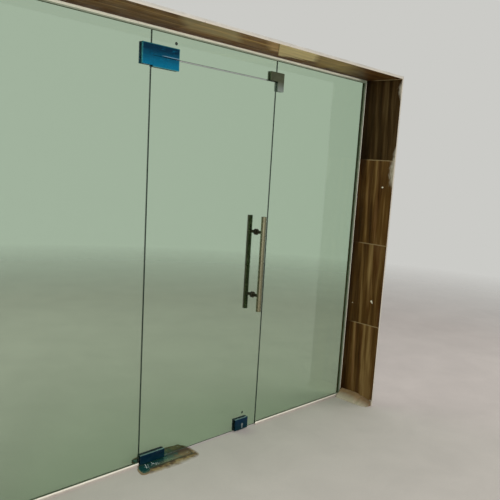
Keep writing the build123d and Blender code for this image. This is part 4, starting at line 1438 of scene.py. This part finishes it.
@dataclass(frozen=True)
class DirtPatch:
    """Flat, ragged patch of dirt, drawn out to the corner of the floor spring's cover.

    Places and half widths are given along X and Y, and its turn in degrees.
    """

    name: str
    middle: Pair
    widths: Pair
    turn: float
    height: float
    corner: Pair = (-0.491, -0.100)

    def build(self, material: bpy.types.Material) -> None:
        """Smear the patch over the corner.

        Args:
            material: its finish.
        """
        dirt = start_piece(bpy.ops.mesh.primitive_circle_add, (*self.widths, 1.0), vertices=48,
                           radius=1.0, fill_type="NGON", location=(*self.middle, 0.0),
                           rotation=(0.0, 0.0, math.radians(self.turn)))
        with editing(dirt):
            pull_near(dirt, Vector((*self.corner, 0.0)), (-7 * MM, -3 * MM, 0), 30 * MM)
            shake(1.8 * MM, 4)
            bpy.ops.transform.resize(value=(1.0, 1.0, 0.0))
            bpy.ops.mesh.vertices_smooth(factor=0.4, repeat=1)
            raise_dome((0, 0, 0.6 * self.height), ((1.2 * MM, 0.25 * self.height),
                                                   (2.0 * MM, 0.1 * self.height),
                                                   (2.5 * MM, 0.05 * self.height)))
            turn_outward()
        sit_on(dirt, 2, 0.0, below=False)
        keep(dirt, self.name, "shopfront", material)


@dataclass
class FloorSpring:
    """Floor spring with its cover plate, the cement round it and plaster dropped on it.

    Each speck of plaster has its place along X and Y in metres, and its size in millimetres.
    """

    plate_top: float = 2.5 * MM
    wet: DirtPatch = DirtPatch("plate_corner_wet", (-0.455, -0.058), (0.030, 0.046), -14.0, 3.0 * MM)
    brown: DirtPatch = DirtPatch("plate_corner_brown", (-0.461, -0.065), (0.035, 0.057), -24.0, 1.7 * MM)
    specks: tuple[Place, ...] = (
        (-0.424, -0.022, 3.0), (-0.428, -0.033, 4.0), (-0.433, -0.044, 3.6), (-0.437, -0.053, 4.2),
        (-0.441, -0.063, 3.6), (-0.421, -0.049, 2.4), (-0.446, -0.046, 2.2), (-0.415, -0.036, 2.8),
        (-0.385, -0.028, 3.4), (-0.381, -0.038, 4.0), (-0.377, -0.049, 3.6), (-0.373, -0.059, 2.8),
        (-0.366, -0.053, 3.0), (-0.359, -0.061, 2.4), (-0.393, -0.043, 2.2), (-0.352, -0.056, 2.0),
        (-0.404, -0.057, 1.8), (-0.428, -0.064, 2.4), (-0.368, -0.041, 2.2), (-0.361, -0.048, 2.6))

    def dress_parts(self) -> bpy.types.Material:
        """Give the floor spring and its cement their finishes.

        Returns:
            The cover plate's finish.
        """
        dress(MetalFinish("case_primer", Tone(66, 70, 70), Run.UP, 0.55, 0.3, metallic=0.2),
              "floor_spring_case", "floor_spring_closer")
        dress(StainFinish("cement_stained", Tone(196, 188, 180), Tone(44, 50, 38), Tone(98, 78, 58),
                          Tone(152, 132, 90), ((-0.4515, -0.1275), (-0.070, 0.070)),
                          ((0.036, 0.038), (0.078, 0.030))), "cement_collar")
        return dress(MuddyPlateFinish("spring_cover_muddy", Tone(26, 74, 66), Tone(134, 118, 84),
                                      Tone(84, 70, 52), Tone(122, 134, 104), (-0.300, -0.170)),
                     "floor_spring_cover")

    def drop_plaster(self) -> None:
        """Drop small lumps of plaster on the cover plate in front of the door."""
        lumps = []
        for number, (across, depth, size) in enumerate(self.specks):
            radius = size * MM
            scale = (radius * (1.0 + 0.3 * math.sin(3.1 * number)),
                     radius * (0.8 + 0.2 * math.cos(2.3 * number)), radius * 0.42)
            lumps.append(make_lump((across, depth, self.plate_top), scale, 0.22 * size * MM, number,
                                   (0, 0, 1), False, 1.7 * number))
        plaster = CementFinish("plaster_white", Tone(176, 192, 186), Tone(228, 234, 226), 500.0)
        keep(join(lumps), "plaster_specks", "shopfront", plaster.build())

    def build(self) -> None:
        """Dress the floor spring, dirty its corner and drop the plaster."""
        stain = CementFinish("stain_brown", Tone(104, 84, 62), Tone(158, 138, 106), 200.0).build()
        self.wet.build(self.dress_parts())
        self.brown.build(stain)
        self.drop_plaster()


@dataclass
class RevealRemains:
    """Cement along the feet of the jambs and dabs of plaster on the tiles.

    Each dab has its place along Y and Z in metres, and its half widths there in millimetres.
    """

    near: float = 0.022
    far: float = 0.304
    rise: float = 62 * MM
    spread: float = 80 * MM
    overlap: float = 6 * MM
    lifts: tuple[Pair, ...] = ((1.0, 0.30), (0.72, 0.26), (0.5, 0.22), (0.32, 0.22))
    drops: tuple[Pair, ...] = ((0.19, 0.14), (0.235, 0.14), (0.275, 0.16))
    dabs: tuple[tuple[float, ...], ...] = (
        (-0.226, 1.617, 7.5, 5.5), (-0.222, 0.784, 8.5, 8.0), (-0.229, 0.774, 5.5, 5.5),
        (-0.054, 0.743, 4.0, 3.0))
    dab_depth: float = 2.2 * MM

    def lay_fillet(self, side: float, name: str, material: bpy.types.Material) -> None:
        """Lay a hand-trowelled fillet of cement along the foot of one jamb.

        Args:
            side: -1 for the left jamb, 1 for the right one.
            name: the piece's name.
            material: its finish.
        """
        heap = start_piece(bpy.ops.mesh.primitive_grid_add, (self.spread, self.far - self.near, 1.0),
                           x_subdivisions=12, y_subdivisions=44, size=1.0,
                           location=(side * (JAMB + self.overlap - 0.5 * self.spread),
                                     -0.5 * (self.near + self.far), 0.0))
        with editing(heap):
            for step, lift in self.lifts:
                reach = self.spread * step + 0.1 * MM - 0.12 * self.spread
                select_vertices(heap, lambda place: JAMB - side * place.x < reach)
                bpy.ops.transform.translate(value=(0, 0, lift * self.rise))
            for beyond, drop in self.drops:
                select_vertices(heap, lambda place: place.y < -beyond and place.z > 0.0)
                bpy.ops.transform.translate(value=(0, 0, -drop * self.rise))
            bpy.ops.mesh.select_all(action="SELECT")
            bpy.ops.mesh.vertices_smooth(factor=0.5, repeat=5)
        roughen(heap, 30 * MM, 3, strength=9 * MM, mid_level=0.5, direction="Z")
        with editing(heap):
            bpy.ops.mesh.select_all(action="SELECT")
            bpy.ops.mesh.extrude_region_move(TRANSFORM_OT_translate={"value": (0, 0, -40 * MM)})
            cut_off((0, 0, 0), (0, 0, 1), False)
            cut_off((side * JAMB, 0, 0), (side, 0, 0), True)
            turn_outward()
        keep(heap, name, "shopfront", material)

    def build(self) -> None:
        """Lay the fillets and press the dabs on the right jamb."""
        cement = CementFinish("fillet_cement", Tone(104, 80, 54), Tone(144, 118, 84), 320.0,
                              Tone(184, 176, 154), (1.302, 1.358)).build()
        for side, name in ((-1.0, "left_foot_fillet"), (1.0, "right_foot_fillet")):
            self.lay_fillet(side, name, cement)
        dabs = [make_lump((JAMB, depth, height), (self.dab_depth, wide * MM, tall * MM), 0.9 * MM,
                          11 + number, (1, 0, 0), True)
                for number, (depth, height, wide, tall) in enumerate(self.dabs)]
        plaster = CementFinish("plaster_cream", Tone(206, 196, 168), Tone(236, 228, 204), 420.0)
        keep(join(dabs), "jamb_plaster_dabs", "shopfront", plaster.build())


@dataclass
class DoorLock:
    """Lock at the foot of the door."""

    plate: Plate = Plate(0.2655, 0.3755, 0.008, 0.084)

    def build(self) -> None:
        """Dress the lock."""
        # The lock film's deep-to-bright tones are a painted reflection and its rim tone a painted
        # highlight.
        dress(FilmFinish("film_lock", Tone(6, 54, 88), Tone(4, 66, 74), (0.0, 0.07), self.plate,
                         Tone(150, 190, 192), 0.8, 2.6 * MM, crown=True, dust=0.03),
              "lock_front_cover", "lock_rear_cover")
        dress(MetalFinish("lock_aluminium", Tone(120, 122, 120), Run.UP, 0.45, 0.1), "lock_case")
        dress(MetalFinish("nickel_cylinder", Tone(176, 192, 200), Run.THROUGH, 0.28, 0.05),
              "lock_cylinder")
        dress(MetalFinish("plug_nickel", Tone(190, 198, 200), Run.THROUGH, 0.26, 0.05), "lock_plug")
        dress(MetalFinish("bolt_steel", Tone(178, 178, 176), Run.UP, 0.25, 0.02), "lock_bolt")


@dataclass
class PullHandles:
    """Pull handles with their posts."""

    outer: Finish = MetalFinish("tube_satin_steel", Tone(146, 144, 116), Run.UP, 0.2, 0.04, 1100.0)
    # The inner tube is a darker copy of the outer steel: painted shade.
    inner: Finish = MetalFinish("tube_steel_shaded", Tone(90, 92, 74), Run.UP, 0.22, 0.04, 1100.0)
    post: Finish = MetalFinish("post_steel", Tone(72, 68, 54), Run.THROUGH, 0.3, 0.08)

    def build(self) -> None:
        """Give the tubes and posts their steel."""
        for finish, name in ((self.outer, "outer_handle"), (self.inner, "inner_handle"),
                             (self.post, "handle_posts")):
            dress(finish, name)


@dataclass(frozen=True)
class Lamp:
    """Soft rectangular lamp: where it hangs, what it faces, its width and height, and its watts."""

    name: str
    place: Place
    aim: Place
    size: Pair
    watts: float

    def hang(self) -> None:
        """Hang the lamp where neither the camera nor the glass nor shiny surfaces show it."""
        data = bpy.data.lights.new(self.name, "AREA")
        data.shape = "RECTANGLE"
        data.size, data.size_y = self.size
        data.energy = self.watts
        lamp = bpy.data.objects.new(self.name, data)
        bpy.context.collection.objects.link(lamp)
        lamp.location = self.place
        lamp.rotation_mode = "QUATERNION"
        lamp.rotation_quaternion = (Vector(self.aim) - Vector(self.place)).to_track_quat("-Z", "Y")
        lamp.visible_camera = False
        lamp.visible_transmission = False
        lamp.visible_glossy = False


@dataclass
class Studio:
    """Camera, floor, backdrop and lights."""

    eye: Place = (-2.3633, -2.7390, 1.6965)
    heading: float = 47.848
    pitch: float = -9.512
    roll: float = 3.990
    lens: float = 44.59
    shift: Pair = (-0.070, 0.0467)
    floor_level: float = -0.5 * MM
    floor_finish: Finish = FloorFinish("floor_pale", Tone(204, 195, 187), (4.2, 9.0))
    backdrop: Tone = Tone(203, 203, 199)
    sky: Tone = Tone(238, 240, 242)
    sheen_from: Place = (-3.2, -4.4, 1.2)
    sheen_strength: float = 2.6
    lamps: tuple[Lamp, ...] = (
        Lamp("lamp_front", (-3.2, -4.4, 2.4), (0.0, 0.0, 1.3), (3.0, 2.0), 175.0),
        Lamp("lamp_shop", (-0.5, 3.6, 3.6), (0.3, 0.0, 0.9), (3.4, 2.4), 50.0),
        Lamp("lamp_right", (4.2, -2.6, 2.8), (0.0, 0.0, 1.0), (2.4, 2.0), 50.0))

    def place_camera(self) -> None:
        """Stand the camera where the photograph was taken from."""
        data = bpy.data.cameras.new("camera")
        data.lens = self.lens
        data.shift_x, data.shift_y = self.shift
        data.clip_end = 100.0
        camera = bpy.data.objects.new("camera", data)
        bpy.context.collection.objects.link(camera)
        level = Euler((math.radians(90.0 + self.pitch), 0.0, math.radians(-self.heading)))
        camera.rotation_mode = "QUATERNION"
        roll = Quaternion((0, 0, 1), math.radians(self.roll))
        camera.rotation_quaternion = level.to_quaternion() @ roll
        camera.location = self.eye
        bpy.context.scene.camera = camera

    def lay_floor(self) -> None:
        """Lay the pale floor, which fades into the backdrop far from the object."""
        floor = start_piece(bpy.ops.mesh.primitive_plane_add, (40.0, 40.0, 1.0), size=1.0,
                            location=(0, 0, self.floor_level))
        floor.name = "floor"
        floor.data.materials.append(self.floor_finish.build())

    def light_world(self) -> None:
        """Light the world evenly, with a pale background that metal shows with a bright sheen."""
        world = bpy.data.worlds.new("studio_world")
        world.use_nodes = True
        world.node_tree.nodes.clear()
        bpy.context.scene.world = world
        w = Wiring(world.node_tree)
        path = w.node("LightPath").outputs
        glossy, through = path["Is Glossy Ray"], path["Is Transmission Ray"]
        aim = {0: w.node("TexCoord").outputs["Generated"], 1: Vector(self.sheen_from).normalized()}
        toward = w.node("VectorMath", aim, operation="DOT_PRODUCT").outputs["Value"]
        sheen = w.mul(w.span(toward, 0.80, 0.98, 1.0, self.sheen_strength),
                      w.span(toward, -0.7, 0.2, 0.6))
        strength = w.add(w.mul(w.most(w.sub(glossy, through), 0.0), w.sub(sheen, 1.0)), 1.0)
        soft = w.node("Background", {"Color": self.sky, "Strength": 0.6}).outputs[0]
        pale = w.node("Background", {"Color": self.backdrop, "Strength": strength}).outputs[0]
        seen = w.most(path["Is Camera Ray"], through, glossy)
        w.node("OutputWorld", {"Surface": w.overlay(seen, soft, pale)})

    def build(self) -> None:
        """Set up the whole studio."""
        bpy.context.scene.view_settings.view_transform = "Standard"
        self.place_camera()
        self.lay_floor()
        self.light_world()
        for lamp in self.lamps:
            lamp.hang()


def main() -> None:
    """Build the studio and dress the frame."""
    Studio().build()
    for part in (TiledReveal(), Glazing(), PatchFittings(), FloorSpring(), RevealRemains(), DoorLock(),
                 PullHandles()):
        log.info("sub-assembly %s", type(part).__name__)
        part.build()


if __name__ == "__main__":
    main()
